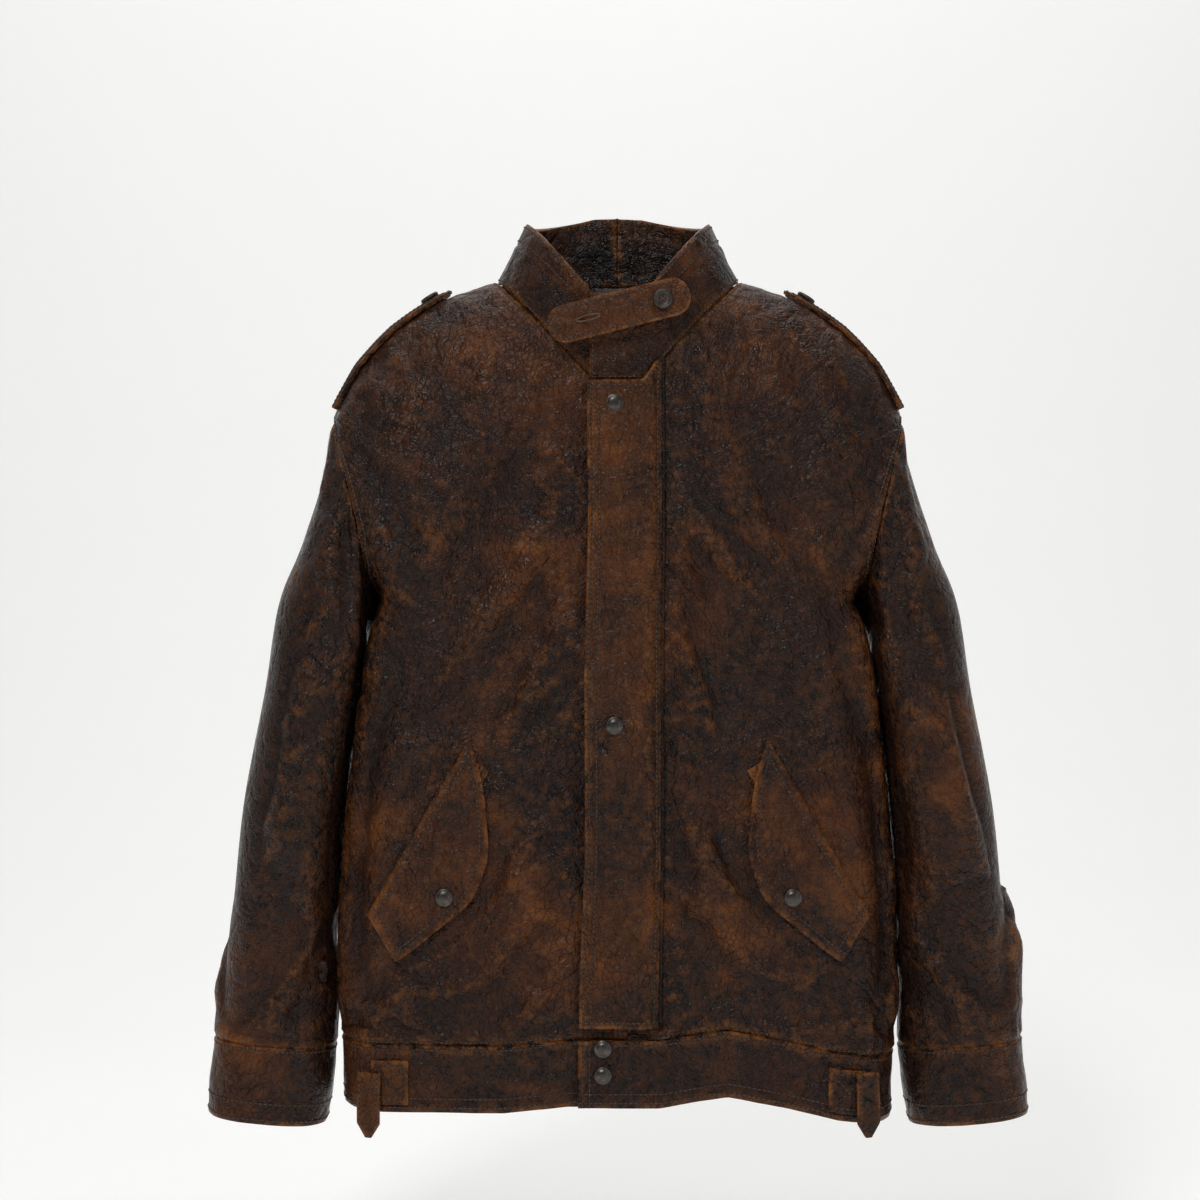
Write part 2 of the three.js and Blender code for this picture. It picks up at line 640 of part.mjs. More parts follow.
function sleeveSkin(cellsAround, cellsUp, angles, vs, outer, inner, side) {
  return sheet(cellsAround, cellsUp, (a, b, c) => {
    const v = THREE.MathUtils.lerp(vs[0], vs[1], b);
    const angle = THREE.MathUtils.lerp(angles[0], angles[1], a);
    const shift = THREE.MathUtils.lerp(inner, outer, c);
    const point = sleevePoint(v, angle).addScaledVector(sleeveNormal(v, angle), shift);
    point.x *= side;
    return point;
  });
}

const seamAngle = THREE.MathUtils.degToRad(120); // front and hind seams of the sleeve
const slit = 0.006;
const cuffCapAngle = -Math.PI * 0.62;
for (const [name, side] of sides) {
  const beyond = armholeBlock(side, gap, 900);
  const body = [0, cuffV - 0.01];
  const upper = sleeveSkin(10, 6, [-seamAngle + slit, seamAngle - slit], body, 0, -leather, side);
  const underTurn = [seamAngle + slit, Math.PI * 2 - seamAngle - slit];
  const under = sleeveSkin(5, 6, underTurn, body, 0, -leather, side);
  const wholeTurn = [-Math.PI + slit * 3, Math.PI - slit * 3];
  const inside = sleeveSkin(14, 6, wholeTurn, [0.04, cuffV - 0.1], -6, -6 - lining, side);
  const cuffAngles = [-Math.PI * 0.72, Math.PI * 1.16];
  const cuff = sleeveSkin(14, 1, cuffAngles, [cuffV, cuffV + 1], 0.4, 0.4 - cuffThick, side);
  add("sleeve_top_" + name, keepBeyond(upper, side), "leather");
  add("sleeve_under_" + name, keepBeyond(under, side), "leather");
  add("sleeve_lining_" + name, keepBeyond(inside, side), "cloth");
  add("cuff_" + name, cuff, "leather");
  const seat = sleevePoint(cuffV + 0.5, cuffCapAngle);
  const outward = sleeveNormal(cuffV + 0.5, cuffCapAngle);
  const cap = domed(snapRadius, snapHeight, seat.addScaledVector(outward, 1.8), outward);
  add("cuff_cap_" + name, mirrored(cap, side), "metal");
}

// A sleeve stays on its own side of the armhole.
function keepBeyond(solid, side) {
  const body = new THREE.BoxGeometry(400, far, far);
  body.translate(-200 + gap, 0, 0);
  body.rotateY(armholeTilt);
  body.translate(armpit.x, 0, armpit.z);
  if (side < 0) body.rotateZ(Math.PI);
  const above = block(-far, far, -far, far, armpit.z - 40, far);
  return solid.subtract(solidOf(body).intersect(above));
}

// ---- side adjusters ----
for (const [name, side] of sides) {
  const turns = (v) => {
    const shape = ringAt(bandRings, v);
    const start = turnAtX(shape, bodyHalfWidth - 54);
    return [start, start + patchSize / quarterOf(shape, depth).whole];
  };
  add("adjuster_patch_" + name, skin(bandRings, 4, turns, [0.12, 0.72], 2.8, 0.4, side), "leather");
  const hang = offsetPoint(bandRings, 0.45, turns(0.45)[1] - 0.03, 3.6);
  const outward = offsetPoint(bandRings, 0.45, turns(0.45)[1] - 0.03, 10).sub(hang).normalize();
  const outline = new THREE.Shape();
  const half = adjusterWidth / 2;
  outline.moveTo(-half, 8);
  outline.lineTo(-half, -adjusterLength + 14);
  outline.lineTo(0, -adjusterLength);
  outline.lineTo(half, -adjusterLength + 14);
  outline.lineTo(half, 8);
  const strap = new THREE.ExtrudeGeometry(outline, { depth: leather, bevelEnabled: false });
  strap.rotateX(Math.PI / 2);
  strap.rotateZ(Math.atan2(outward.y, outward.x) + Math.PI / 2);
  strap.translate(hang.x, hang.y, hang.z);
  add("adjuster_strap_" + name, mirrored(solidOf(strap), side), "leather");
}

// ---- hanging loop inside the back of the neck ----
const loopHalf = hangLoopWidth / 2;
const loopBackY = depth - 18 - collarThick - 5;
const loopPath = new THREE.CatmullRomCurve3([
  new THREE.Vector3(-loopHalf, loopBackY, -4),
  new THREE.Vector3(-loopHalf + 3, loopBackY - 6, -22),
  new THREE.Vector3(0, loopBackY - 10, -34),
  new THREE.Vector3(loopHalf - 3, loopBackY - 6, -22),
  new THREE.Vector3(loopHalf, loopBackY, -4),
]);
const loopSection = new THREE.Shape();
loopSection.absarc(0, 0, 2.2, 0, Math.PI * 2, false);
const loopGeometry = new THREE.ExtrudeGeometry(loopSection, {
  steps: 12,
  curveSegments: 5,
  extrudePath: loopPath,
});
add("hang_loop", solidOf(loopGeometry), "leather");

export default group;
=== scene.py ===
import bpy
import bmesh
import math
import numpy as np
from mathutils import Matrix, Vector, noise
from mathutils.kdtree import KDTree


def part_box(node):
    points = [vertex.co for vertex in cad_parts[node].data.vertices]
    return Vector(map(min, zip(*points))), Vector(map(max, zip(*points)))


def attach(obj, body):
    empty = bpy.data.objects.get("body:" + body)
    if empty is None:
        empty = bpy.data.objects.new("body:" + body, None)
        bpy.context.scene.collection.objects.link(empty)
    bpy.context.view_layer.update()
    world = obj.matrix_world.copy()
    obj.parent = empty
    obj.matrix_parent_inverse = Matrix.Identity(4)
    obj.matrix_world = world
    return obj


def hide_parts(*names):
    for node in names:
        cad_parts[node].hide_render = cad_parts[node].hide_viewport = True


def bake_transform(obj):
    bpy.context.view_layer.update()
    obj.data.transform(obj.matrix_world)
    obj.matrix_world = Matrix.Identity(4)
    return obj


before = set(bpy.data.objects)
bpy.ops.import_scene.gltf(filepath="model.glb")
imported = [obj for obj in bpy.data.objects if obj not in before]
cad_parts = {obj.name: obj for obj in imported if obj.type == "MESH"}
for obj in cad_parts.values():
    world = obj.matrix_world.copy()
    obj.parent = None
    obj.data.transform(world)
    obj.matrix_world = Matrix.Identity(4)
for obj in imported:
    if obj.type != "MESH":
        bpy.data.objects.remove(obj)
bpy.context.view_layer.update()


def nodeMiddle(node):
    low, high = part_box(node)
    return (Vector(low) + Vector(high)) / 2


leatherTones = {
    "base": (0.100, 0.030, 0.0075),
    "rubbed": (0.235, 0.082, 0.016),
    "deep": (0.040, 0.0125, 0.0055),
    "black": (0.0085, 0.0068, 0.0066),
    "crack": (0.005, 0.0035, 0.003),
}


class Shading:
    # a small helper that adds nodes and joins them up
    def __init__(self, name):
        self.material = bpy.data.materials.new(name)
        self.material.use_nodes = True
        self.tree = self.material.node_tree
        self.tree.nodes.clear()
        self.surface = self.add("ShaderNodeBsdfPrincipled")
        output = self.add("ShaderNodeOutputMaterial")
        self.join(self.surface.outputs["BSDF"], output.inputs["Surface"])
        self.place = self.add("ShaderNodeTexCoord").outputs["Object"]

    def add(self, kind, **settings):
        node = self.tree.nodes.new(kind)
        for key, value in settings.items():
            setattr(node, key, value)
        return node

    def join(self, source, target):
        self.tree.links.new(source, target)

    def fill(self, node, **inputs):
        for key, value in inputs.items():
            socket = node.inputs[key.replace("_", " ")]
            if isinstance(value, bpy.types.NodeSocket):
                self.join(value, socket)
            else:
                socket.default_value = value
        return node

    def speckle(self, scale, detail=4, rough=0.55, distort=0, stretch=None):
        source = self.place
        if stretch:
            mapping = self.add("ShaderNodeMapping")
            mapping.inputs["Scale"].default_value = stretch
            self.join(source, mapping.inputs["Vector"])
            source = mapping.outputs["Vector"]
        node = self.add("ShaderNodeTexNoise")
        self.fill(node, Vector=source, Scale=scale, Detail=detail, Roughness=rough, Distortion=distort)
        return node.outputs["Fac"]

    def cells(self, scale, feature="F1", where=None):
        node = self.add("ShaderNodeTexVoronoi", feature=feature)
        self.fill(node, Vector=where or self.place, Scale=scale)
        return node.outputs["Distance"]

    def ramp(self, source, low, high, fromValue=0.0, toValue=1.0):
        node = self.add("ShaderNodeMapRange", interpolation_type="SMOOTHSTEP")
        self.fill(node, Value=source, From_Min=low, From_Max=high, To_Min=fromValue, To_Max=toValue)
        return node.outputs["Result"]

    def maths(self, operation, a, b=0.0):
        node = self.add("ShaderNodeMath", operation=operation)
        for socket, value in zip(node.inputs, (a, b)):
            if isinstance(value, bpy.types.NodeSocket):
                self.join(value, socket)
            else:
                socket.default_value = value
        return node.outputs[0]

    def blendColours(self, factor, a, b):
        node = self.add("ShaderNodeMix", data_type="RGBA")
        for socket, value in ((node.inputs[0], factor), (node.inputs[6], a), (node.inputs[7], b)):
            if isinstance(value, bpy.types.NodeSocket):
                self.join(value, socket)
            elif socket.type == "RGBA":
                socket.default_value = (*value, 1)
            else:
                socket.default_value = value
        return node.outputs[2]

    def bump(self, height, distance, strength=1.0, under=None):
        node = self.add("ShaderNodeBump")
        self.fill(node, Height=height, Distance=distance, Strength=strength)
        if under:
            self.join(under, node.inputs["Normal"])
        return node.outputs["Normal"]


def leatherFinish(name, darkness=0.0, orange=0.0, smoothness=0.0, blotch=5.5):
    s = Shading(name)
    tones = leatherTones
    warp = s.speckle(9, 3)
    warped = s.add("ShaderNodeVectorMath", operation="MULTIPLY_ADD")
    s.join(warp, warped.inputs[0])
    warped.inputs[1].default_value = (0.05, 0.05, 0.05)
    s.join(s.place, warped.inputs[2])
    bent = warped.outputs[0]
    mottle = s.speckle(blotch, 7, 0.62, 0.5)
    clouds = s.speckle(21, 6, 0.6, 0.3)
    specks = s.speckle(120, 5, 0.65)
    rubAndCreaseShade = s.add("ShaderNodeAttribute", attribute_name="rubAndCreaseShade")
    parts = s.add("ShaderNodeSeparateColor")
    s.join(rubAndCreaseShade.outputs["Color"], parts.inputs[0])
    edge, ridge, valley = parts.outputs[0], parts.outputs[1], parts.outputs[2]

    colour = s.blendColours(s.ramp(clouds, 0.36, 0.66), tones["deep"], tones["base"])
    colour = s.blendColours(s.ramp(specks, 0.50, 0.75, 0, 0.32), colour, tones["rubbed"])
    colour = s.blendColours(s.ramp(clouds, 0.52, 0.72, orange * 0.4, 0.25 + orange), colour,
                            tones["rubbed"])
    darkMask = s.maths("MULTIPLY", s.ramp(mottle, 0.60 - darkness, 0.44 - darkness),
                       s.ramp(clouds, 0.25, 0.6, 0.55, 1.0))
    darkMask = s.maths("MULTIPLY", darkMask, s.ramp(specks, 0.34, 0.62, 1.0, 0.65))
    patchy = s.maths("MULTIPLY", rubAndCreaseShade.outputs["Alpha"], s.ramp(mottle, 0.68, 0.40))
    darkMask = s.maths("MAXIMUM", darkMask, patchy)
    colour = s.blendColours(darkMask, colour, tones["black"])
    worn = s.maths("MULTIPLY", edge, s.ramp(s.speckle(60, 5, 0.7), 0.38, 0.64, 0, 0.85))
    colour = s.blendColours(worn, colour, tones["rubbed"])
    colour = s.blendColours(s.maths("MULTIPLY", ridge, s.ramp(specks, 0.38, 0.72, 0.0, 0.32)), colour,
                            tones["rubbed"])
    # painted shade: the fold valleys (blue channel) are darkened towards black
    colour = s.blendColours(s.maths("MULTIPLY", valley, 0.42), colour, tones["black"])

    pebble = s.cells(560, "SMOOTH_F1", bent)
    crackle = s.cells(150, "DISTANCE_TO_EDGE", bent)
    wrinkle = s.cells(46, "DISTANCE_TO_EDGE", bent)
    crackLine = s.ramp(crackle, 0.0, 0.09, 1, 0)
    crackWhere = s.ramp(s.speckle(14, 5, 0.6), 0.42, 0.62)
    cracks = s.maths("MULTIPLY", crackLine, crackWhere)
    colour = s.blendColours(s.maths("MULTIPLY", cracks, 0.6), colour, tones["crack"])
    pores = s.maths("MULTIPLY", s.ramp(s.cells(330), 0.16, 0.05, 0, 1),
                    s.ramp(s.speckle(7.5, 4), 0.47, 0.6))
    colour = s.blendColours(s.maths("MULTIPLY", pores, 0.85), colour, tones["crack"])
    s.join(colour, s.surface.inputs["Base Color"])

    rough = s.maths("ADD", s.ramp(specks, 0.3, 0.75, 0.24 - smoothness, 0.50 - smoothness),
                    s.maths("MULTIPLY", ridge, -0.08))
    rough = s.maths("ADD", rough, s.maths("MULTIPLY", valley, 0.12))
    rough = s.maths("ADD", rough, s.maths("MULTIPLY", darkMask, -0.06))
    s.join(rough, s.surface.inputs["Roughness"])
    s.surface.inputs["Specular IOR Level"].default_value = 0.18

    fold = s.ramp(wrinkle, 0.0, 0.16)
    broad = s.speckle(34, 5, 0.6, 0.8)
    normal = s.bump(broad, 0.010, 0.5)
    normal = s.bump(fold, 0.0014, 0.65, normal)
    normal = s.bump(s.ramp(crackle, 0.0, 0.12), 0.0007, 0.7, normal)
    normal = s.bump(pebble, 0.0011, 0.7, normal)
    normal = s.bump(s.speckle(900, 3), 0.0003, 0.5, normal)
    s.join(normal, s.surface.inputs["Normal"])
    return s.material


def clothFinish(name, colour, pitch=900):
    s = Shading(name)
    wave = s.add("ShaderNodeTexWave", wave_type="BANDS", bands_direction="DIAGONAL")
    s.fill(wave, Vector=s.place, Scale=pitch / 6, Distortion=1.2, Detail=2)
    lighter = tuple(min(1, c * 1.7) for c in colour)
    tone = s.blendColours(s.ramp(s.speckle(30, 5), 0.35, 0.7), colour, lighter)
    tone = s.blendColours(s.maths("MULTIPLY", wave.outputs["Fac"], 0.35), tone,
                          tuple(c * 0.4 for c in colour))
    s.join(tone, s.surface.inputs["Base Color"])
    s.join(s.ramp(s.speckle(200, 3), 0.3, 0.7, 0.7, 0.92), s.surface.inputs["Roughness"])
    s.surface.inputs["Sheen Weight"].default_value = 0.3
    s.join(s.bump(wave.outputs["Fac"], 0.0003, 0.5), s.surface.inputs["Normal"])
    return s.material


def metalFinish(name, colour, rough=0.32, worn=(0.45, 0.42, 0.38)):
    s = Shading(name)
    s.surface.inputs["Metallic"].default_value = 1
    patch = s.ramp(s.speckle(260, 4, 0.6), 0.52, 0.70)
    s.join(s.blendColours(s.maths("MULTIPLY", patch, 0.35), colour, worn), s.surface.inputs["Base Color"])
    s.join(s.ramp(s.speckle(700, 3), 0.3, 0.7, rough, rough + 0.14), s.surface.inputs["Roughness"])
    s.join(s.bump(s.speckle(1500, 2), 0.00005, 0.3), s.surface.inputs["Normal"])
    return s.material


def hornFinish(name):
    s = Shading(name)
    grain = s.speckle(260, 5, 0.6, 1.5, stretch=(1, 1, 0.25))
    s.join(s.blendColours(s.ramp(grain, 0.4, 0.65), (0.012, 0.009, 0.008), (0.055, 0.032, 0.020)),
           s.surface.inputs["Base Color"])
    s.join(s.ramp(grain, 0.3, 0.7, 0.34, 0.55), s.surface.inputs["Roughness"])
    s.join(s.bump(grain, 0.0003, 0.5), s.surface.inputs["Normal"])
    return s.material


def threadFinish(name, colour):
    s = Shading(name)
    tone = s.blendColours(s.ramp(s.speckle(90, 4), 0.35, 0.65), tuple(c * 0.45 for c in colour), colour)
    s.join(tone, s.surface.inputs["Base Color"])
    s.join(s.ramp(s.speckle(700, 2), 0.3, 0.7, 0.6, 0.85), s.surface.inputs["Roughness"])
    return s.material


print("finishes")
finishes = {
    "shell": leatherFinish("shellLeather"),
    "sleeve": leatherFinish("sleeveLeather", darkness=-0.03, blotch=4.6),
    "placket": leatherFinish("placketLeather", darkness=0.05, orange=0.25, smoothness=0.05),
    "trim": leatherFinish("trimLeather", darkness=0.03, orange=0.2),
    "lining": clothFinish("twillLining", (0.030, 0.021, 0.017)),
    "tape": clothFinish("zipTape", (0.020, 0.016, 0.014), 1600),
    "snap": metalFinish("gunmetal", (0.085, 0.075, 0.068), 0.30, (0.24, 0.21, 0.18)),
    "brass": metalFinish("agedBrass", (0.36, 0.26, 0.12), 0.3, (0.12, 0.09, 0.05)),
    "horn": hornFinish("darkHorn"),
    "thread": threadFinish("waxedThread", (0.120, 0.056, 0.026)),
    # painted shade: the groove finish is near-black, for the tubes that stand in for the shadow in the stitch
    # grooves
    "groove": threadFinish("stitchGrooveShade", (0.012, 0.0075, 0.006)),
}

# the jacket's form, worked out from the frame
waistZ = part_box("back_panel")[0][2]
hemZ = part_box("waistband_back")[0][2]
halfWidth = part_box("waistband_back")[1][0]
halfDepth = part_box("back_panel")[1][1]
frontY = -halfDepth
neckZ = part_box("storm_flap")[1][2]
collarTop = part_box("collar_back")[1][2]
form = {
    "tip": (halfWidth + 0.007, -0.131),
    "armpit": (halfWidth - 0.032, -0.290),
    "round": 0.045,
    "neckHalf": 0.108,
    "collarHalf": 0.082,
    "hingeX": 0.090,
    "closureX": nodeMiddle("zip_slider")[0],
}
tipX, tipZ = form["tip"]
pitX, pitZ = form["armpit"]


def bodyRings():
    # half width, side rounding, front and back depth, heights of front, side and back
    r, d, w = form["round"], halfDepth, halfWidth
    bellyZ = (waistZ + pitZ) / 2 - 0.060
    return np.array([
        (w, r, d, d, waistZ, waistZ, waistZ),
        (w - 0.005, r, d, d, bellyZ, bellyZ, bellyZ),
        (w - 0.016, r, d, d, pitZ - 0.110, pitZ - 0.110, pitZ - 0.110),
        (pitX - 0.002, r, d, d, pitZ, pitZ, pitZ),
        (tipX + 0.009, r + 0.025, d, d, -0.230, -0.235, -0.230),
        (tipX + 0.014, r + 0.035, d, d, -0.204, -0.182, -0.195),
        (tipX, r + 0.045, d, d - 0.003, -0.184, tipZ, -0.158),
        (tipX - 0.023, r + 0.055, d, d - 0.006, -0.165, -0.088, -0.122),
        (tipX - 0.053, r + 0.065, d, d - 0.009, -0.148, -0.056, -0.088),
        ((tipX + form["neckHalf"]) / 2 - 0.020, r + 0.072, d, d - 0.014, -0.128, -0.030, -0.050),
        (form["neckHalf"], form["neckHalf"] - 0.022, d, d - 0.018, neckZ, -0.012, -0.010),
    ])


rings = bodyRings()
collarRings = np.array([
    rings[-1],
    (form["collarHalf"], form["collarHalf"] - 0.022, halfDepth + 0.007, halfDepth - 0.015, -0.031,
     0.040, collarTop),
])
bandRings = np.array([
    (halfWidth - 0.001, form["round"], halfDepth, halfDepth, hemZ, hemZ, hemZ),
    (halfWidth, form["round"], halfDepth, halfDepth, waistZ, waistZ, waistZ),
])


def between(rows, v):
    # a place between two rows of a table: on a cubic through their neighbours, and straight
    low = int(min(max(math.floor(v), 0), len(rows) - 2))
    t = v - low
    a, b = rows[low], rows[low + 1]
    before, after = rows[max(low - 1, 0)], rows[min(low + 2, len(rows) - 1)]
    cubic = 0.5 * (2 * a + (b - before) * t + (2 * before - 5 * a + 4 * b - after) * t ** 2
                   + (3 * a - before - 3 * b + after) * t ** 3)
    return cubic, a + (b - a) * t


def ringAt(shape, v):
    # the cubic is softened so that it never swings past the rings much
    cubic, straight = between(shape, v)
    return straight if len(shape) < 3 else 0.5 * cubic + 0.5 * straight


def quarter(ring, across):
    flat = ring[0] - ring[1]
    arc = math.pi / 2 * math.sqrt((ring[1] ** 2 + across ** 2) / 2)
    return flat, arc, flat + arc


def turnAtX(ring, x):
    flat, arc, whole = quarter(ring, ring[2])
    far = abs(x)
    if far <= flat:
        return x / whole
    angle = math.asin(min(1, (far - flat) / ring[1]))
    return math.copysign(flat + angle / (math.pi / 2) * arc, x) / whole


def surfacePoint(shape, v, turn):
    ring = ringAt(shape, v)
    isBack = turn > 1
    part = 2 - turn if isBack else turn
    across = ring[3] if isBack else ring[2]
    flat, arc, whole = quarter(ring, across)
    run = abs(part) * whole
    angle = max(0, (run - flat) / arc * math.pi / 2)
    x = min(run, flat) + ring[1] * math.sin(angle)
    y = across * math.cos(angle) * (1 if isBack else -1)
    middle = ring[6] if isBack else ring[4]
    z = middle + (ring[5] - middle) * math.sin(angle)
    return np.array((math.copysign(x, part), y, z))


seamTilt = math.atan2(tipX - pitX, tipZ - pitZ)
armholeOut = np.array((math.cos(seamTilt), 0, -math.sin(seamTilt)))


def armholeTurn(v, isBack):
    # where the body's surface meets the armhole, as a turn; the side itself where it doesn't
    def outside(turn):
        point = surfacePoint(rings, v, 2 - turn if isBack else turn)
        return (point - np.array((pitX, 0, pitZ))) @ armholeOut
    if outside(1) <= 0 or v < 3 or v > 6.001:
        return 1.0
    low, high = 0.3, 1.0
    for _ in range(30):
        middle = (low + high) / 2
        if outside(middle) > 0:
            high = middle
        else:
            low = middle
    return (low + high) / 2


rowCounts = {"body": (17, 18, 14, 8, 7, 7, 6, 6, 6, 7), "front": 27, "back": 60}
rowsV = np.concatenate([[0]] + [i + np.arange(1, n + 1) / n for i, n in enumerate(rowCounts["body"])])


def frontGrid(edgeX, side):
    # the front from its edge to the side seam, the armhole and the shoulder seam
    grid = []
    for v in rowsV:
        start = turnAtX(ringAt(rings, v), edgeX)
        end = armholeTurn(v, False)
        grid.append([surfacePoint(rings, v, start + (end - start) * u) for u in np.linspace(0, 1,
                rowCounts["front"] + 1)])
    grid = np.array(grid)
    grid[:, :, 0] *= side
    return grid


def backGrid():
    grid = []
    for v in rowsV:
        end = armholeTurn(v, True)
        grid.append([surfacePoint(rings, v, 2 - end * (1 - 2 * u)) for u in np.linspace(0, 1,
                rowCounts["back"] + 1)])
    return np.array(grid)


# sleeve cuts: inner and outer edge seen from the front, and half the depth
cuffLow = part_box("cuff_left")
sleeveEnd = cuffLow[0][2] + 0.005
sleeveWidth = 0.096
sleeveHalf = 0.066
sleeveCuts = np.array([
    (pitX + 0.002, pitZ, tipX, tipZ, sleeveHalf),
    (pitX + 0.012, pitZ - 0.052, tipX + 0.030, tipZ - 0.106, sleeveHalf + 0.002),
    (halfWidth - 0.012, pitZ - 0.108, tipX + 0.053, pitZ - 0.006, sleeveHalf),
    (halfWidth - 0.004, pitZ - 0.170, tipX + 0.066, pitZ - 0.084, sleeveHalf - 0.002),
    (halfWidth + 0.002, pitZ - 0.236, halfWidth + sleeveWidth - 0.004, pitZ - 0.184, sleeveHalf - 0.006),
    (halfWidth + 0.004, -0.595, halfWidth + sleeveWidth + 0.006, -0.565, sleeveHalf - 0.012),
    (halfWidth + 0.007, -0.695, halfWidth + sleeveWidth + 0.019, -0.687, 0.048),
    (halfWidth + 0.015, sleeveEnd - 0.005, halfWidth + sleeveWidth + 0.025, sleeveEnd + 0.005, 0.046),
])
cuffV = len(sleeveCuts) - 2


def sleevePoint(v, angle):
    inX, inZ, outX, outZ, half = between(sleeveCuts, v)[0]
    along = math.copysign(abs(math.cos(angle)) ** 0.85, math.cos(angle))
    over = math.copysign(abs(math.sin(angle)) ** 0.85, math.sin(angle))
    return np.array(((inX + outX) / 2 + along * (outX - inX) / 2, -half * over,
                     (inZ + outZ) / 2 + along * (outZ - inZ) / 2))


def smoothStep(low, high, value):
    t = np.clip((np.asarray(value, float) - low) / (high - low), 0, 1)
    return t * t * (3 - 2 * t)


sleeveRowCounts = (11, 8, 8, 10, 10, 9)
sleeveV = np.concatenate([[0]] + [i + np.arange(1, n + 1) / n for i, n in enumerate(sleeveRowCounts)])


def sleeveGrid(frontPanel, backPanel, side):
    # columns start under the arm, climb the front to the shoulder and come down the back
    rows = [i for i, v in enumerate(rowsV) if 3 - 1e-6 <= v <= 6 + 1e-6]
    rim = [frontPanel[i, -1] for i in rows] + [backPanel[i, 0 if side > 0 else -1] for i in rows[::-1][1:]]
    rim = np.array(rim)
    rim[:, 0] *= side
    half = len(rows) - 1
    columns = []
    for j, start in enumerate(rim):
        angle = math.pi * (1 - j / half)
        first = sleevePoint(0, angle)
        column = []
        for v in sleeveV:
            fade = 1 - float(smoothStep(0, 1.0, v))
            column.append(sleevePoint(v, angle) + (start - first) * fade)
        columns.append(column)
    grid = np.array(columns).transpose(1, 0, 2)
    grid[:, :, 0] *= side
    return grid


frontwards = Vector((0, -1, 0))


def frontNormals(grid):
    return np.broadcast_to(np.array(frontwards), grid.shape)


def gridNormals(grid, flip=1, closed=False):
    across = np.gradient(grid, axis=1)
    if closed:
        across[:, 0] = across[:, -1] = (grid[:, 1] - grid[:, -2]) / 2
    up = np.gradient(grid, axis=0)
    normals = np.cross(across, up) * flip
    return normals / np.maximum(np.linalg.norm(normals, axis=2, keepdims=True), 1e-9)


def gridPlaces(verts, rows, columns):
    # the row and column of each corner that create_grid made
    return {vert: (round((vert.co.y + 1) / 2 * (rows - 1)), round((vert.co.x + 1) / 2 * (columns - 1)))
            for vert in verts}


print("form")
frontEdgeX = {"left": form["closureX"] + 0.008, "right": -(form["closureX"] - 0.008)}
sideSign = {"left": 1, "right": -1}
shell = {}
for name, side in sideSign.items():
    shell["front_" + name] = {"rest": frontGrid(frontEdgeX[name], side), "flip": side}
shell["back"] = {"rest": backGrid(), "flip": 1}
for name, side in sideSign.items():
    grid = sleeveGrid(shell["front_" + name]["rest"], shell["back"]["rest"], side)
    shell["sleeve_" + name] = {"rest": grid, "flip": -side, "closed": True}


# a short cloth run gives the leather its slack folds
slack = {"frames": 22, "growth": 0.045, "bending": 20, "tension": 30, "hold": 0.035, "outMost": 0.010,
         "inMost": 0.006,
         "touch": 0.0012}


def holdWeight(name, v, point):
    # how firmly a point stays put: the sewn edges, the shoulders on the hanger, the zip line
    x, y = abs(point[0]), point[1]
    weight = slack["hold"]
    if name.startswith("sleeve"):
        weight = max(weight, float(smoothStep(0.5, 0.0, v)) * 0.7,
                     float(smoothStep(cuffV - 0.35, cuffV, v)))
        return weight
    weight = max(weight, float(smoothStep(0.25, 0.0, v)), float(smoothStep(7.0, 9.5, v)) * 0.9)
    if y < frontY + 0.02:
        weight = max(weight, float(smoothStep(0.075, 0.040, x)))
    ridge = float(smoothStep(0.045, 0.0, abs(y))) * float(smoothStep(5.4, 6.4, v))
    return max(weight, ridge)


def runSlack():
    bm = bmesh.new()
    layer = bm.verts.layers.float.new("hold")
    for name, panel in shell.items():
        grid = panel["rest"]
        rows, columns = grid.shape[:2]
        made = bmesh.ops.create_grid(bm, x_segments=columns - 1, y_segments=rows - 1, size=1)["verts"]
        vs = sleeveV if name.startswith("sleeve") else rowsV
        for vert, at in gridPlaces(made, rows, columns).items():
            vert.co = grid[at]
            vert[layer] = holdWeight(name, vs[at[0]], grid[at])
    bmesh.ops.remove_doubles(bm, verts=bm.verts[:], dist=0.0004)
    bmesh.ops.recalc_face_normals(bm, faces=bm.faces[:])
    mesh = bpy.data.meshes.new("slackForm")
    weights = [v[layer] for v in bm.verts]
    bm.to_mesh(mesh)
    bm.free()
    body = bpy.data.objects.new("slackForm", mesh)
    bpy.context.collection.objects.link(body)
    group = body.vertex_groups.new(name="hold")
    for index, weight in enumerate(weights):
        group.add([index], weight, "REPLACE")
    rest = np.array([v.co for v in mesh.vertices])
    cloth = body.modifiers.new("Cloth", "CLOTH")
    settings = cloth.settings
    settings.quality = 6
    settings.mass = 0.35
    settings.tension_stiffness = slack["tension"]
    settings.compression_stiffness = slack["tension"]
    settings.shear_stiffness = slack["tension"] * 0.6
    settings.bending_stiffness = slack["bending"]
    settings.tension_damping = 25
    settings.compression_damping = 25
    settings.shear_damping = 15
    settings.bending_damping = 2
    settings.air_damping = 4
    settings.vertex_group_mass = "hold"
    settings.pin_stiffness = 1
    settings.shrink_min = -slack["growth"]
    cloth.collision_settings.use_collision = False
    cloth.point_cache.frame_start = 1
    cloth.point_cache.frame_end = slack["frames"]
    for number in range(1, slack["frames"] + 1):
        bpy.context.scene.frame_set(number)
    evaluated = body.evaluated_get(bpy.context.evaluated_depsgraph_get())
    moved = np.array([v.co for v in evaluated.data.vertices])
    bpy.data.objects.remove(body)
    bpy.context.scene.frame_set(1)
    return rest, moved


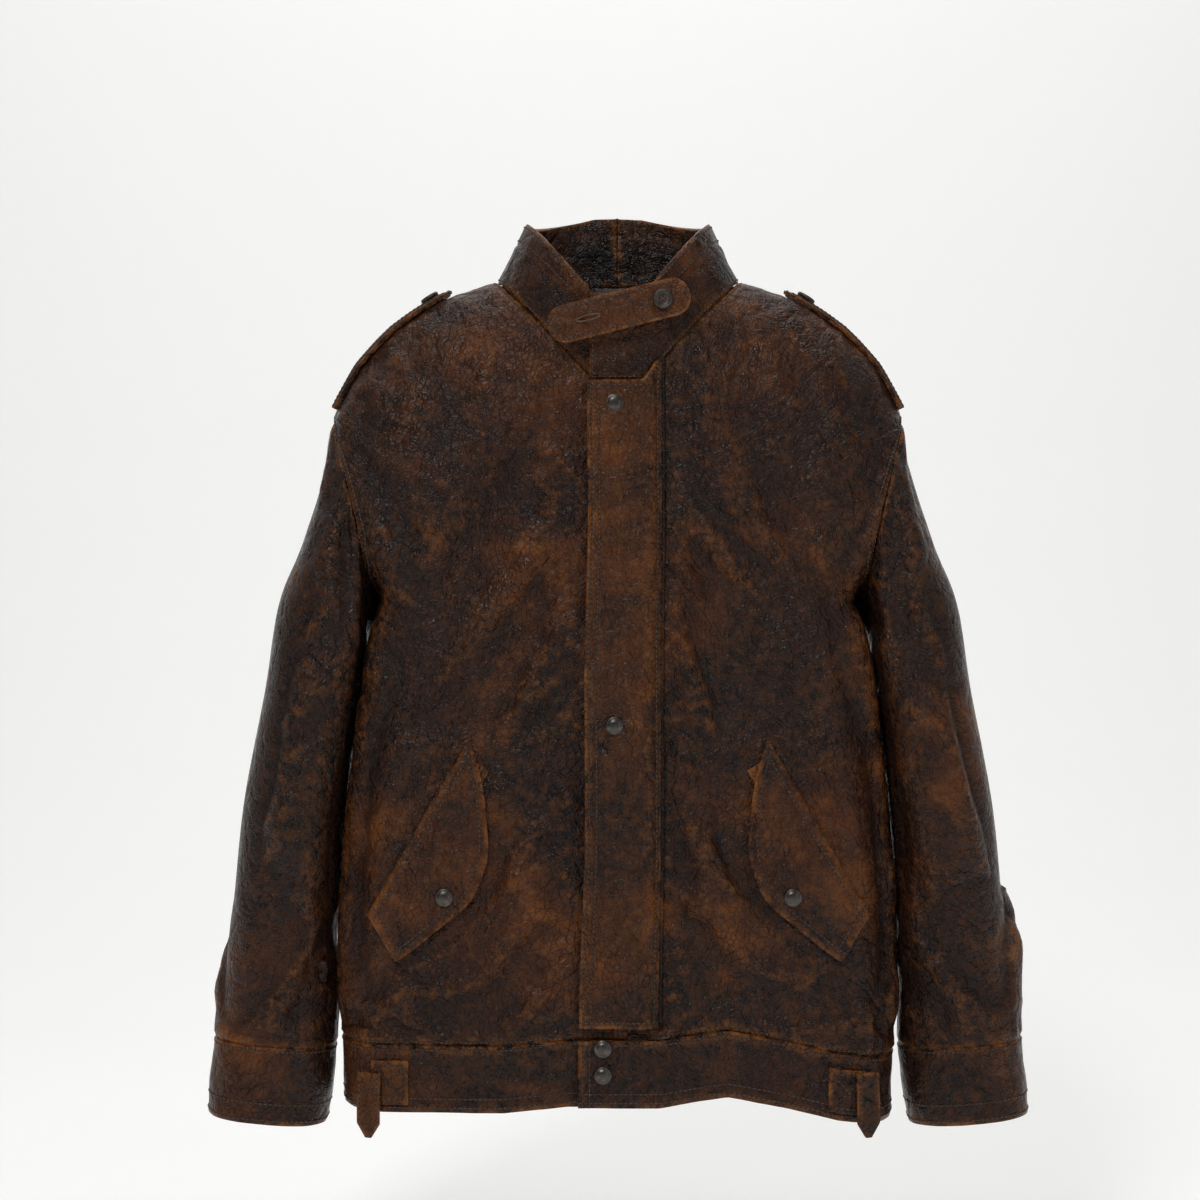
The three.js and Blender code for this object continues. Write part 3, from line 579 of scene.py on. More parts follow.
def settle(rest, moved):
    tree = KDTree(len(rest))
    for index, point in enumerate(rest):
        tree.insert(point, index)
    tree.balance()
    for name, panel in shell.items():
        grid = panel["rest"]
        shift = np.zeros_like(grid)
        for r in range(grid.shape[0]):
            for c in range(grid.shape[1]):
                index = tree.find(grid[r, c])[1]
                shift[r, c] = moved[index] - rest[index]
        panel["shift"] = shift


settle(*runSlack())
print("cloth settled")


# finer folds worked in along the normals, with wear and painted shade in the fold valleys
wear = {
    "patches": [(-0.21, -0.19, 0.055, 1.0), (0.135, -0.20, 0.06, 0.9), (-0.24, -0.62, 0.11, 0.9),
                (0.345, -0.46, 0.10, 0.8), (-0.33, -0.42, 0.05, 0.6), (0.19, -0.33, 0.04, 0.5)],
    "rubs": [(0.354, -0.602, 0.022, 0.7), (-0.30, -0.27, 0.03, 0.4), (0.30, -0.25, 0.03, 0.4)],
    "hemSway": [(-0.30, -0.002), (-0.10, -0.005), (-0.045, 0.001), (0.035, 0.001), (0.095, 0.009),
                (0.145, 0.0),
                (0.19, -0.011), (0.235, -0.016), (0.30, -0.014)],
}


def swayAt(point):
    # the front hem hangs unevenly: lifted at the closure, low towards the left side
    x, y, z = point
    places, lifts = zip(*wear["hemSway"])
    front = 0.25 + 0.75 * float(smoothStep(0.055, 0.0, y))
    return float(np.interp(x, places, lifts)) * front * float(smoothStep(-0.54, -0.67, z))


def swayed(grid):
    return np.array([[swayAt(p) for p in row] for row in grid])


def ridged(point, scale, seed=0.0):
    return 1 - abs(noise.noise(Vector(point) * scale + Vector((seed, seed, -seed)))) * 2.2


def creaseHeight(name, point):
    x, y, z = point
    if name.startswith("sleeve"):
        side = 1 if x > 0 else -1
        lean = z * 0.80 + side * x * 0.60 + y * 0.30  # folds run slantwise across the sleeve
        coarse = noise.noise(Vector((lean * 20, x * 5 + 3 * side, y * 6))) * 0.0050
        fine = ridged((lean, x * 0.5, y * 0.6), 44, 2.0) * 0.0014
        elbow = 0.35 + math.exp(-((z + 0.45) / 0.15) ** 2)
        knuckle = ridged((lean, x * 0.35, y * 0.4), 27, 5.0 + side) * 0.0032 * elbow
        return coarse + fine + knuckle - 0.002
    coarse = noise.noise(Vector((x * 10 + 7, y * 6, z * 6))) * 0.0036
    slant = ridged((x + z * 0.45, y, z * 0.5), 22, 1.0) * 0.0021
    fine = ridged((x, y, z * 0.8), 58, 9.0) * 0.0007
    pit = math.exp(-((abs(x) - 0.20) / 0.06) ** 2 - ((z + 0.30) / 0.09) ** 2)
    drag = ridged((abs(x) * 0.5 - z, y * 0.3, x * 0.3), 30, 4.0) * 0.0030 * pit
    return coarse + slant + fine + drag - 0.001


def doubled(grid, axis):
    g = np.moveaxis(grid, axis, 0)
    longer = np.concatenate([[2 * g[0] - g[1]], g, [2 * g[-1] - g[-2]]])
    middles = (-longer[:-3] + 9 * longer[1:-2] + 9 * longer[2:-1] - longer[3:]) / 16
    out = np.empty((2 * len(g) - 1,) + g.shape[1:])
    out[0::2], out[1::2] = g, middles
    return np.moveaxis(out, 0, axis)


def edgeDistance(grid, closed=False):
    # metres from each point to the panel's nearest sewn edge, along its own row or column
    along = np.linalg.norm(np.diff(grid, axis=1), axis=2)
    run = np.concatenate([np.zeros((len(grid), 1)), np.cumsum(along, axis=1)], axis=1)
    sideways = np.minimum(run, run[:, -1:] - run)
    upward = np.linalg.norm(np.diff(grid, axis=0), axis=2)
    climb = np.concatenate([np.zeros((1, grid.shape[1])), np.cumsum(upward, axis=0)], axis=0)
    lengthways = np.minimum(climb, climb[-1:] - climb)
    return lengthways if closed else np.minimum(sideways, lengthways)


def wearAndCreaseShadeOf(grid, relief, distance, dark=0.0, edgeWidth=0.005):
    rubAndCreaseShade = np.zeros(grid.shape[:2] + (4,))
    rubAndCreaseShade[:, :, 0] = np.exp(-(distance / edgeWidth) ** 2)
    rubAndCreaseShade[:, :, 1] = np.clip(relief / 0.0010, 0, 1)
    # blue channel: painted shade where the relief dips into a fold valley
    rubAndCreaseShade[:, :, 2] = np.clip(-relief / 0.0012, 0, 1)
    rubAndCreaseShade[:, :, 3] = dark
    front = smoothStep(0.02, -0.02, grid[:, :, 1])
    for x, z, reach, strength in wear["patches"]:
        away = ((grid[:, :, 0] - x) ** 2 + (grid[:, :, 2] - z) ** 2) / reach ** 2
        rubAndCreaseShade[:, :, 3] = np.maximum(rubAndCreaseShade[:, :, 3], strength * np.exp(-away) * front)
    for x, z, reach, strength in wear["rubs"]:
        away = ((grid[:, :, 0] - x) ** 2 + (grid[:, :, 2] - z) ** 2) / reach ** 2
        rubAndCreaseShade[:, :, 0] = np.maximum(rubAndCreaseShade[:, :, 0], strength * np.exp(-away) * front)
    return rubAndCreaseShade


# a given relief adds wear on the rises and painted shade in the dips
def wornAndShadedPanel(grid, normals, dark, edgeWidth, relief=None):
    relief = np.zeros(grid.shape[:2]) if relief is None else relief
    rubAndCreaseShade = wearAndCreaseShadeOf(grid, relief, edgeDistance(grid), dark, edgeWidth)
    return {"grid": grid, "normals": normals, "rubAndCreaseShade": rubAndCreaseShade}


def softened(heights, rounds=6):
    soft = heights.copy()
    for _ in range(rounds):
        wide = np.pad(soft, 1, mode="edge")
        soft = (wide[:-2, 1:-1] + wide[2:, 1:-1] + wide[1:-1, :-2] + wide[1:-1, 2:] + soft) / 5
    return soft


def workPanel(name, panel):
    rest, shift = panel["rest"], panel["shift"]
    closed = panel.get("closed", False)
    normals = gridNormals(rest, panel["flip"], closed)
    outwards = np.sum(shift * normals, axis=2)
    slide = shift - outwards[:, :, None] * normals
    slideMost = np.minimum(0.010, 0.45 * edgeDistance(rest, closed))[:, :, None]
    slide *= np.minimum(1, slideMost / np.maximum(np.linalg.norm(slide, axis=2, keepdims=True), 1e-9))
    yoke = smoothStep(-0.27, -0.16, rest[:, :, 2]) * (0.0 if name.startswith("sleeve") else 0.65)
    outwards = outwards * (1 - yoke)
    outMost = np.full(outwards.shape, slack["outMost"])
    inMost = np.full(outwards.shape, slack["inMost"])
    x, y, z = np.abs(rest[:, :, 0]), rest[:, :, 1], rest[:, :, 2]
    facing = (np.abs(y) < 0.050) & (z < pitZ + 0.02)
    if name.startswith("sleeve"):
        facing = facing & (normals[:, :, 0] * np.sign(rest[:, :, 0]) < -0.2)
        inMost[:] = 0.0042
    else:
        facing = facing & (x > pitX - 0.030)
    touch = np.full(outwards.shape, slack["touch"])
    if not name.startswith("sleeve"):
        # the body's side swells out until it all but meets the hanging sleeve
        reach = np.interp(-z, [-cut[1] for cut in sleeveCuts], [cut[0] for cut in sleeveCuts])
        swell = smoothStep(pitZ + 0.008, pitZ - 0.020, z) * smoothStep(waistZ + 0.004, waistZ + 0.05, z)
        touch = np.maximum(touch, np.clip(reach - 0.0028 - x, 0, 0.014) * swell)
    outMost[facing] = touch[facing]
    pressed = softened(facing.astype(float), 4)
    if not name.startswith("sleeve"):
        outMost[(y < frontY + 0.02) & (x < 0.050)] = 0.0015
        underFlap = (y < frontY + 0.02) & (x > 0.105) & (z < -0.41) & (z > waistZ + 0.055)
        outMost[underFlap] = 0.002
        inMost[(y < frontY + 0.02) & (x > 0.035) & (z < -0.40)] = 0.0006
    outMost, inMost = softened(outMost, 3), softened(inMost, 3)
    heights = outwards * (1 - pressed) + touch * pressed
    grid = rest + slide
    grid, heights = doubled(doubled(grid, 0), 1), doubled(doubled(heights, 0), 1)
    outMost, inMost = doubled(doubled(outMost, 0), 1), doubled(doubled(inMost, 0), 1)
    normals = gridNormals(grid, panel["flip"], closed)
    distance = edgeDistance(grid, closed)
    inner = smoothStep(0.0, 0.03, distance)
    crease = np.array([[creaseHeight(name, p) for p in row] for row in grid])
    heights = heights + crease * (0.25 + 0.75 * inner)
    if closed:
        heights[:, 0] = heights[:, -1] = (heights[:, 0] + heights[:, -1]) / 2
    heights = np.clip(heights, -inMost, outMost)
    seamDip = -0.0012 * np.exp(-(distance / 0.0026) ** 2) + 0.0006 * np.exp(-((distance - 0.007) / 0.004) ** 2)
    grid = grid + normals * (heights + seamDip)[:, :, None]
    if closed:
        grid[:, -1] = grid[:, 0] = (grid[:, -1] + grid[:, 0]) / 2
    if not closed:
        grid[:, :, 2] += swayed(grid)
    panel["grid"] = grid
    panel["normals"] = gridNormals(grid, panel["flip"], closed)
    # the relief sets ridge wear and the painted shade in the fold valleys
    panel["rubAndCreaseShade"] = wearAndCreaseShadeOf(grid, heights - softened(heights), distance)


for panelName, shellPanel in shell.items():
    workPanel(panelName, shellPanel)
print("folds worked in")


# making meshes
def gridMesh(bm, grid):
    rows, columns = grid.shape[:2]
    made = bmesh.ops.create_grid(bm, x_segments=columns - 1, y_segments=rows - 1, size=1)["verts"]
    index = gridPlaces(made, rows, columns)
    for vert, at in index.items():
        vert.co = grid[at]
    return index


def finishPiece(name, bm, finish, smooth=True):
    mesh = bpy.data.meshes.new(name)
    bm.to_mesh(mesh)
    bm.free()
    piece = bpy.data.objects.new(name, mesh)
    bpy.context.collection.objects.link(piece)
    mesh.materials.append(finishes[finish])
    if smooth:
        mesh.polygons.foreach_set("use_smooth", [True] * len(mesh.polygons))
    return piece


def layered(name, grid, normals, thickness, finish, rubAndCreaseShade=None, closed=False, bevel=0.0):
    # a sheet with its outer face on the grid and its inner face a thickness behind it
    bm = bmesh.new()
    layer = bm.verts.layers.float_color.new("rubAndCreaseShade")
    thick = np.broadcast_to(thickness, grid.shape[:2])
    outer = gridMesh(bm, grid)
    inner = gridMesh(bm, grid - normals * thick[:, :, None])
    for index in (outer, inner):
        for vert, at in index.items():
            vert[layer] = rubAndCreaseShade[at] if rubAndCreaseShade is not None else (0, 0, 0, 0)
    bm.normal_update()
    probe = grid.shape[0] // 2, grid.shape[1] // 2
    facing = [vert for vert, at in outer.items() if at == probe][0].normal @ Vector(normals[probe])
    wrong = inner if facing > 0 else outer
    bmesh.ops.reverse_faces(bm, faces=list({f for v in wrong for f in v.link_faces}))
    bmesh.ops.bridge_loops(bm, edges=[e for e in bm.edges if e.is_boundary])
    if closed:
        bmesh.ops.remove_doubles(bm, verts=bm.verts[:], dist=0.00001)
    piece = finishPiece(name, bm, finish)
    if bevel:
        rounding = piece.modifiers.new("Bevel", "BEVEL")
        rounding.width = bevel
        rounding.segments = 2
        rounding.limit_method = "ANGLE"
        rounding.angle_limit = math.radians(50)
    return piece


def tube(name, points, radius, finish, sides=3):
    curve = bpy.data.curves.new(name, "CURVE")
    curve.dimensions = "3D"
    curve.bevel_depth = radius
    curve.bevel_resolution = sides
    curve.use_fill_caps = True
    spline = curve.splines.new("POLY")
    spline.points.add(len(points) - 1)
    for place, point in zip(spline.points, points):
        place.co = (*point, 1)
    guide = bpy.data.objects.new(name + "Guide", curve)
    bpy.context.collection.objects.link(guide)
    shape = bpy.data.meshes.new_from_object(guide.evaluated_get(bpy.context.evaluated_depsgraph_get()))
    bpy.data.objects.remove(guide)
    bm = bmesh.new()
    bm.from_mesh(shape)
    bmesh.ops.remove_doubles(bm, verts=bm.verts[:], dist=0.00001)
    bmesh.ops.recalc_face_normals(bm, faces=bm.faces[:])
    return finishPiece(name, bm, finish)


def spun(name, profile, place, normal, finish, steps=32):
    # a round fitting turned from its profile (radius, height) and set on its place
    bm = bmesh.new()
    verts = [bm.verts.new((r, 0, h)) for r, h in profile]
    edges = [bm.edges.new(pair) for pair in zip(verts, verts[1:])]
    bmesh.ops.spin(bm, geom=verts + edges, axis=(0, 0, 1), cent=(0, 0, 0), angle=math.tau, steps=steps,
                   use_merge=True)
    bmesh.ops.remove_doubles(bm, verts=bm.verts[:], dist=0.00001)
    bmesh.ops.recalc_face_normals(bm, faces=bm.faces[:])
    turn = Vector((0, 0, 1)).rotation_difference(Vector(normal)).to_matrix().to_4x4()
    bmesh.ops.transform(bm, matrix=Matrix.Translation(place) @ turn, verts=bm.verts[:])
    return finishPiece(name, bm, finish)


def sampled(grid, r, c):
    r0, c0 = int(min(r, grid.shape[0] - 2)), int(min(c, grid.shape[1] - 2))
    fr, fc = r - r0, c - c0
    low = grid[r0, c0] * (1 - fc) + grid[r0, c0 + 1] * fc
    high = grid[r0 + 1, c0] * (1 - fc) + grid[r0 + 1, c0 + 1] * fc
    return low * (1 - fr) + high * fr


def seamPath(panel, edge, inset, start=0.0, stop=1.0):
    # a line that keeps its distance from one edge of the panel: first, last, low or high
    grid, normals = panel["grid"], panel["normals"]
    if edge in ("low", "high"):
        grid, normals = grid.transpose(1, 0, 2), normals.transpose(1, 0, 2)
    if edge in ("last", "high"):
        grid, normals = grid[:, ::-1], normals[:, ::-1]
    points, outs = [], []
    last = len(grid) - 1
    for r in range(math.ceil(start * last), math.floor(stop * last) + 1):
        steps = np.linalg.norm(np.diff(grid[r], axis=0), axis=1)
        run = np.concatenate([[0], np.cumsum(steps)])
        c = float(np.interp(inset, run, np.arange(len(run))))
        points.append(sampled(grid, r, c))
        outs.append(sampled(normals, r, c))
    return np.array(points), np.array(outs)


stitching = {"pitch": 0.0043, "length": 0.0032, "width": 0.0012, "stand": 0.0003, "groove": 0.0009,
             "sink": 0.0005}


def stitchLine(name, path, hold):
    points, outs = path
    run = np.concatenate([[0], np.cumsum(np.linalg.norm(np.diff(points, axis=0), axis=1))])
    count = max(2, int(run[-1] / stitching["pitch"]))
    bm = bmesh.new()
    for number in range(count):
        at = (number + 0.5) * run[-1] / count
        half = stitching["length"] / 2
        middle = Vector([np.interp(at, run, points[:, k]) for k in range(3)])
        ahead = Vector([np.interp(at + half, run, points[:, k]) for k in range(3)])
        behind = Vector([np.interp(at - half, run, points[:, k]) for k in range(3)])
        along = (ahead - behind).normalized()
        out = Vector([np.interp(at, run, outs[:, k]) for k in range(3)]).normalized()
        across = out.cross(along).normalized()
        out = along.cross(across)
        turn = Matrix((along, across, out)).transposed().to_4x4()
        size = Matrix.Diagonal((half, stitching["width"] / 2, stitching["width"] * 0.4, 1))
        place = Matrix.Translation(middle + out * stitching["stand"])
        bmesh.ops.create_icosphere(bm, subdivisions=1, radius=1, matrix=place @ turn @ size)
    hold(finishPiece(name, bm, "thread"))
    # painted shade: a near-black tube sunk along the stitch line for the groove's shadow
    pressed = tube(name + "_groove", points - outs * stitching["sink"], stitching["groove"], "groove", 1)
    hold(pressed)


def holdFront():
    return lambda piece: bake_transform(piece)


def holdSleeve():
    return lambda piece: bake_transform(piece)


def ridesOn(body):
    return lambda piece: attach(piece, body)


leather = 0.0022
panelOf = {}


def dress(name, panel, thickness, finish, hold, replaced, bevel=0.0):
    piece = layered(name, panel["grid"], panel["normals"], thickness, finish, panel.get("rubAndCreaseShade"),
                    panel.get("closed", False), bevel)
    hold(piece)
    if replaced:
        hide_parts(*replaced)
    panelOf[name] = panel
    return piece


sheets = []
back = dress("backPanel", shell["back"], leather, "shell", ridesOn("jacket"), ["back_panel"])
sheets.append((back, (0.60, 0.74), 0.84))
for side in sideSign:
    names = ["front_panel_" + side, "front_edge_" + side]
    front = dress("frontPanel_" + side, shell["front_" + side], leather, "shell", holdFront(), names)
    names = ["sleeve_top_" + side, "sleeve_under_" + side]
    sleeve = dress("sleeve_" + side, shell["sleeve_" + side], leather, "sleeve", holdSleeve(), names)
    sheets += [(front, (0.32, 0.68), 0.75), (sleeve, (0.42, 0.56), 0.74)]
print("shell")


def bodyStretch(shape, start, stop, rows, columns, sign=1, lift=None):
    # part of a ring strip such as the waistband or the collar, with its own wavy surface
    grid = []
    for v in np.linspace(0, 1, rows + 1):
        ring = ringAt(shape, v)
        first = start(ring) if callable(start) else start
        row = [surfacePoint(shape, v, first + (stop - first) * u) for u in np.linspace(0, 1, columns + 1)]
        grid.append(row)
    grid = np.array(grid)
    if lift is not None:
        raised = np.array([[lift(p) for p in row] for row in grid])
        grid = grid + gridNormals(grid) * raised[:, :, None]
    grid[:, :, 0] *= sign
    return grid


def roughened(grid, flip, amount, scale, dark=0.0, edgeWidth=0.005, sway=False, seed=0.0):
    normals = gridNormals(grid, flip)
    heights = np.array([[noise.noise(Vector(p) * scale + Vector((seed, 0,
            0))) + 0.5 * noise.noise(Vector(p) * scale * 2.7)
                         for p in row] for row in grid]) * amount
    distance = edgeDistance(grid)
    lip = -0.0007 * np.exp(-(distance / 0.0018) ** 2)
    grid = grid + normals * (heights + lip)[:, :, None]
    if sway:
        grid[:, :, 2] += swayed(grid)
    normals = gridNormals(grid, flip)
    # the relief sets ridge wear and the painted shade in the dips
    return {"grid": grid, "normals": normals, "rubAndCreaseShade": wearAndCreaseShadeOf(grid, heights - softened(heights), distance,
                                                            dark, edgeWidth)}


# waistband
band = {"thick": 0.0036, "ripple": 0.0016, "lift": 0.0068, "leftEnd": -0.035, "rightEnd": 0.012}
panel = roughened(bodyStretch(bandRings, 1.0, 3.0, 14, 150), 1, band["ripple"], 26, sway=True)
dress("waistbandBack", panel, band["thick"], "shell", ridesOn("jacket"), ["waistband_back"])
for side, sign in sideSign.items():
    end = band["leftEnd"] if side == "left" else -band["rightEnd"]
    over = (lambda p: band["lift"] * (1 - float(smoothStep(0.032, 0.078,
                                                           p[0])))) if side == "left" else None
    strip = bodyStretch(bandRings, lambda ring: turnAtX(ring, end), 1.0, 14, 90, sign, over)
    panel = roughened(strip, sign, band["ripple"], 26, sway=True, seed=sign)
    names = ["waistband_" + side, "waistband_end_" + side]
    dress("waistband_" + side, panel, band["thick"], "shell", holdFront(), names)
for name in ("waistbandBack", "waistband_left", "waistband_right"):
    hold = ridesOn("jacket") if name == "waistbandBack" else holdFront()
    for edge, inset in (("high", 0.004), ("low", 0.0045), ("low", 0.012)):
        stitchLine(f"stitch_{name}_{edge}_{round(inset * 1e4)}", seamPath(panelOf[name], edge, inset), hold)
for edge, inset in (("first", 0.004), ("first", 0.010)):
    stitchLine(f"stitch_bandEnd_{round(inset * 1e3)}", seamPath(panelOf["waistband_left"], edge, inset),
               holdFront())
print("waistband")

# collar: the left half laps over the right one in front, and both meet at the back
collar = {"thick": 0.0042, "leftEnd": -0.025, "rightEnd": 0.012, "lap": {"left": 0.0026, "right": -0.0024},
          "band": 0.020, "ripple": 0.0022}
for side, sign in sideSign.items():
    end = collar["leftEnd"] if side == "left" else -collar["rightEnd"]
    lap = collar["lap"][side]
    strip = bodyStretch(collarRings, lambda ring: turnAtX(ring, end), 2.004, 20, 110, sign,
                        lambda p: lap * (1 - float(smoothStep(0.020, 0.056, p[0]))) if p[1] < 0 else 0.0)
    panel = roughened(strip, sign, collar["ripple"], 24, edgeWidth=0.004, seed=3 * sign)
    rise = np.cumsum(np.linalg.norm(np.diff(panel["grid"][::-1], axis=0), axis=2), axis=0)[::-1]
    below = np.concatenate([rise, np.zeros((1, rise.shape[1]))])
    panel["rubAndCreaseShade"][:, :, 3] = np.maximum(panel["rubAndCreaseShade"][:, :, 3],
                                       smoothStep(collar["band"], collar["band"] + 0.004, below))
    groove = np.exp(-((below - collar["band"]) / 0.0016) ** 2) * 0.0011
    panel["grid"] = panel["grid"] - panel["normals"] * groove[:, :, None]
    # the free top corner is rounded off
    top = np.linalg.norm(np.diff(panel["grid"][-1], axis=0), axis=1)
    away = np.concatenate([[0], np.cumsum(top)])
    climb = (np.arange(len(panel["grid"])) / (len(panel["grid"]) - 1)) ** 2
    panel["grid"][:, :, 2] -= 0.013 * np.clip(1 - away / 0.020, 0, 1)[None, :] ** 2 * climb[:, None]
    names = ["collar_left", "collar_back"] if side == "left" else ["collar_right"]
    dress("collar_" + side, panel, collar["thick"], "shell", holdFront(), names)
    for inset in (0.0035, 0.0165):
        stitchLine(f"stitch_collar_{side}_{round(inset * 1e4)}", seamPath(panel, "high", inset),
                   holdFront())
    stitchLine(f"stitch_neck_{side}", seamPath(panel, "low", 0.003), holdFront())
    stitchLine(f"stitch_collarEnd_{side}", seamPath(panel, "first", 0.004), holdFront())
print("collar")

# storm flap over the zip, with its piped root and double stitched edge
storm = {"left": -0.0275, "root": 0.0385, "outer": 0.0786, "thick": 0.0024, "rootDepth": 0.0728,
         "bow": 0.0012}
flapLow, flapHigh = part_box("storm_flap")
flapRows, flapColumns = 230, 28
flapGrid = np.zeros((flapRows + 1, flapColumns + 1, 3))
for r in range(flapRows + 1):
    t = r / flapRows
    for c in range(flapColumns + 1):
        u = c / flapColumns
        z = flapLow[2] + 0.012 + (flapHigh[2] - flapLow[2] - 0.012) * t
        wave = 0.0022 * noise.noise(Vector((z * 7, 3, 0))) - 0.006 * (1 - t) ** 2
        x = storm["left"] + wave + (storm["root"] + 0.4 * wave - storm["left"] - wave) * u
        z += 0.020 * float(smoothStep(0.018, 0.0385, x)) * float(smoothStep(0.93, 1.0, t))
        depth = storm["outer"] - (storm["outer"] - storm["rootDepth"]) * float(smoothStep(0.80, 1.0,
                                                                                          u)) ** 1.5
        depth += storm["bow"] * math.sin(math.pi * u) - 0.0008 * (1 - min(1, u / 0.06))
        depth += 0.0011 * noise.noise(Vector((x * 30, 0,
                                              z * 13))) + 0.0007 * noise.noise(Vector((x * 60, 4, z * 34)))
        flapGrid[r, c] = (x, -depth, z)
relief = -(flapGrid[:, :, 1] - softened(flapGrid[:, :, 1], 12))
flapPanel = wornAndShadedPanel(flapGrid, gridNormals(flapGrid), 0.0, 0.0045, relief)
flapPanel["rubAndCreaseShade"][:, :, 3] *= 0.3


def holdFlap(piece):
    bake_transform(piece)


dress("stormFlap", flapPanel, storm["thick"], "placket", holdFlap, ["storm_flap", "storm_flap_root"],
      bevel=0.0006)
for inset in (0.004, 0.0105):
    stitchLine(f"stitch_flapEdge_{round(inset * 1e4)}", seamPath(flapPanel, "first", inset), holdFlap)
stitchLine("stitch_flapRoot", seamPath(flapPanel, "last", 0.0055), holdFlap)
stitchLine("stitch_flapTop", seamPath(flapPanel, "high", 0.005), holdFlap)
stitchLine("stitch_flapFoot", seamPath(flapPanel, "low", 0.005), holdFlap)
rootLine = flapGrid[::2, -1] + np.array((0.0004, 0.0004, 0))
piping = tube("flapPiping", rootLine, 0.0016, "trim")
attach(piping, "front_left")
print("storm flap")

# snaps, studs and buttons
snap = {"radius": 0.0078, "height": 0.0036, "studRadius": 0.005}
capProfile = [(0, 0), (1.0, 0), (1.03, 0.10), (1.0, 0.34), (0.93, 0.50), (0.84, 0.55), (0.79, 0.52),
              (0.74, 0.60),
              (0.62, 0.82), (0.42, 0.96), (0.20, 1.0), (0, 1.0)]
studProfile = [(0, 0), (1, 0), (1, 0.25), (0.62, 0.3), (0.55, 0.75), (0.62, 0.85), (0.5, 1.0),
               (0.25, 0.95), (0, 0.7)]
buttonProfile = [(0, 0), (0.86, 0), (0.97, 0.18), (1.0, 0.5), (0.97, 0.85), (0.88, 1.0), (0.76, 0.97),
                 (0.68, 0.72),
                 (0.50, 0.60), (0.25, 0.58), (0, 0.58)]


def placed(profile, radius, height):
    return [(r * radius, h * height) for r, h in profile]


def addCap(node, body, shift=(0, 0, 0)):
    seat = nodeMiddle(node) + Vector(shift) - frontwards * snap["height"] * 0.5
    piece = spun(node + "_cap", placed(capProfile, snap["radius"], snap["height"]), seat, frontwards,
                 "snap")
    ridesOn(body)(piece)
    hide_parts(node)


def addStud(node, body):
    low, high = (Vector(v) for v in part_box(node))
    seat = Vector(((low.x + high.x) / 2, high.y, (low.z + high.z) / 2))
    piece = spun(node + "_stud", placed(studProfile, snap["studRadius"], high.y - low.y), seat,
                 (0, -1, 0), "snap", 24)
    ridesOn(body)(piece)
    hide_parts(node)


addCap("flap_cap", "storm_flap")
addStud("front_stud", "front_right")
middleSnap = Vector((nodeMiddle("flap_cap").x, -storm["outer"] - 0.0012, -0.405))
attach(spun("middleSnapCap", placed(capProfile, snap["radius"], snap["height"]), middleSnap,
             (0, -1, 0), "snap"), "storm_flap")
middleStud = Vector((middleSnap.x, frontY - 0.0004, middleSnap.z))
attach(spun("middleSnapStud", placed(studProfile, snap["studRadius"], 0.0044), middleStud, (0, -1, 0),
             "snap", 24), "front_right")
for number in ("1", "2"):
    addCap("band_cap_" + number, "front_left", shift=(0, 0, 0.006))
    addStud("band_stud_" + number, "front_right")


def addButton(node, place, normal, body, radius=0.0087, height=0.0036):
    normal = Vector(normal).normalized()
    disc = spun(node + "_disc", placed(buttonProfile, radius, height), place, normal, "horn", 40)
    ridesOn(body)(disc)
    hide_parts(node)
    turn = Vector((0, 0, 1)).rotation_difference(normal).to_matrix().to_4x4()
    bm = bmesh.new()
    for x, y in ((1, 1), (1, -1), (-1, -1), (-1, 1)):
        hole = Matrix.Translation((x * radius * 0.2, y * radius * 0.2, height * 0.60))
        bmesh.ops.create_icosphere(bm, subdivisions=2, radius=radius * 0.1,
                                   matrix=Matrix.Translation(place) @ turn @ hole)
    for lean in (45, -45):
        bar = Matrix.Rotation(math.radians(lean), 4,
                              "Z") @ Matrix.Diagonal((radius * 0.32, 0.0005, 0.0005, 1))
        lift = Matrix.Translation((0, 0, height * 0.68))
        bmesh.ops.create_icosphere(bm, subdivisions=2, radius=1,
                                   matrix=Matrix.Translation(place) @ turn @ lift @ bar)
    tie = finishPiece(node + "_thread", bm, "thread")
    ridesOn(body)(tie)


# throat tab across the collar
tab = {"tilt": math.radians(14), "length": 0.126, "half": 0.0165, "end": 0.024, "thick": 0.0028,
       "button": (0.038, -0.038)}
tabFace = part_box("collar_tab")[0][1]
tabRows, tabColumns = 16, 84
tabGrid = np.zeros((tabRows + 1, tabColumns + 1, 3))
for r in range(tabRows + 1):
    for c in range(tabColumns + 1):
        a = -(tab["length"] - tab["end"]) + tab["length"] * c / tabColumns
        left, right = a + tab["length"] - tab["end"], tab["end"] - a
        near = min(left, right)
        square = max(0.0, 1 - near / tab["half"])
        half = tab["half"] * math.sqrt(max(0.03, 1 - square ** 2.4))
        b = half * (2 * r / tabRows - 1)
        x = tab["button"][0] + a * math.cos(tab["tilt"]) - b * math.sin(tab["tilt"]) * 0.999
        z = tab["button"][1] + a * math.sin(tab["tilt"]) + b * math.cos(tab["tilt"])
        swell = 0.0010 * (1 - (b / tab["half"]) ** 2) + 0.0009 * noise.noise(Vector((a * 45, b * 30, 1)))
        sink = 0.0025 * float(smoothStep(0.02, -0.01, left)) + 0.0035 * float(smoothStep(0.045, 0.0, left))
        tabGrid[r, c] = (x, tabFace - swell + sink * 0.6, z)
tabPanel = wornAndShadedPanel(tabGrid, gridNormals(tabGrid), 0.25, 0.0035)
dress("collarTab", tabPanel, tab["thick"], "trim", ridesOn("collar_tab"), ["collar_tab"], bevel=0.0006)
for edge in ("low", "high"):
    stitchLine("stitch_tab_" + edge, seamPath(tabPanel, edge, 0.0036, 0.05, 0.95), ridesOn("collar_tab"))
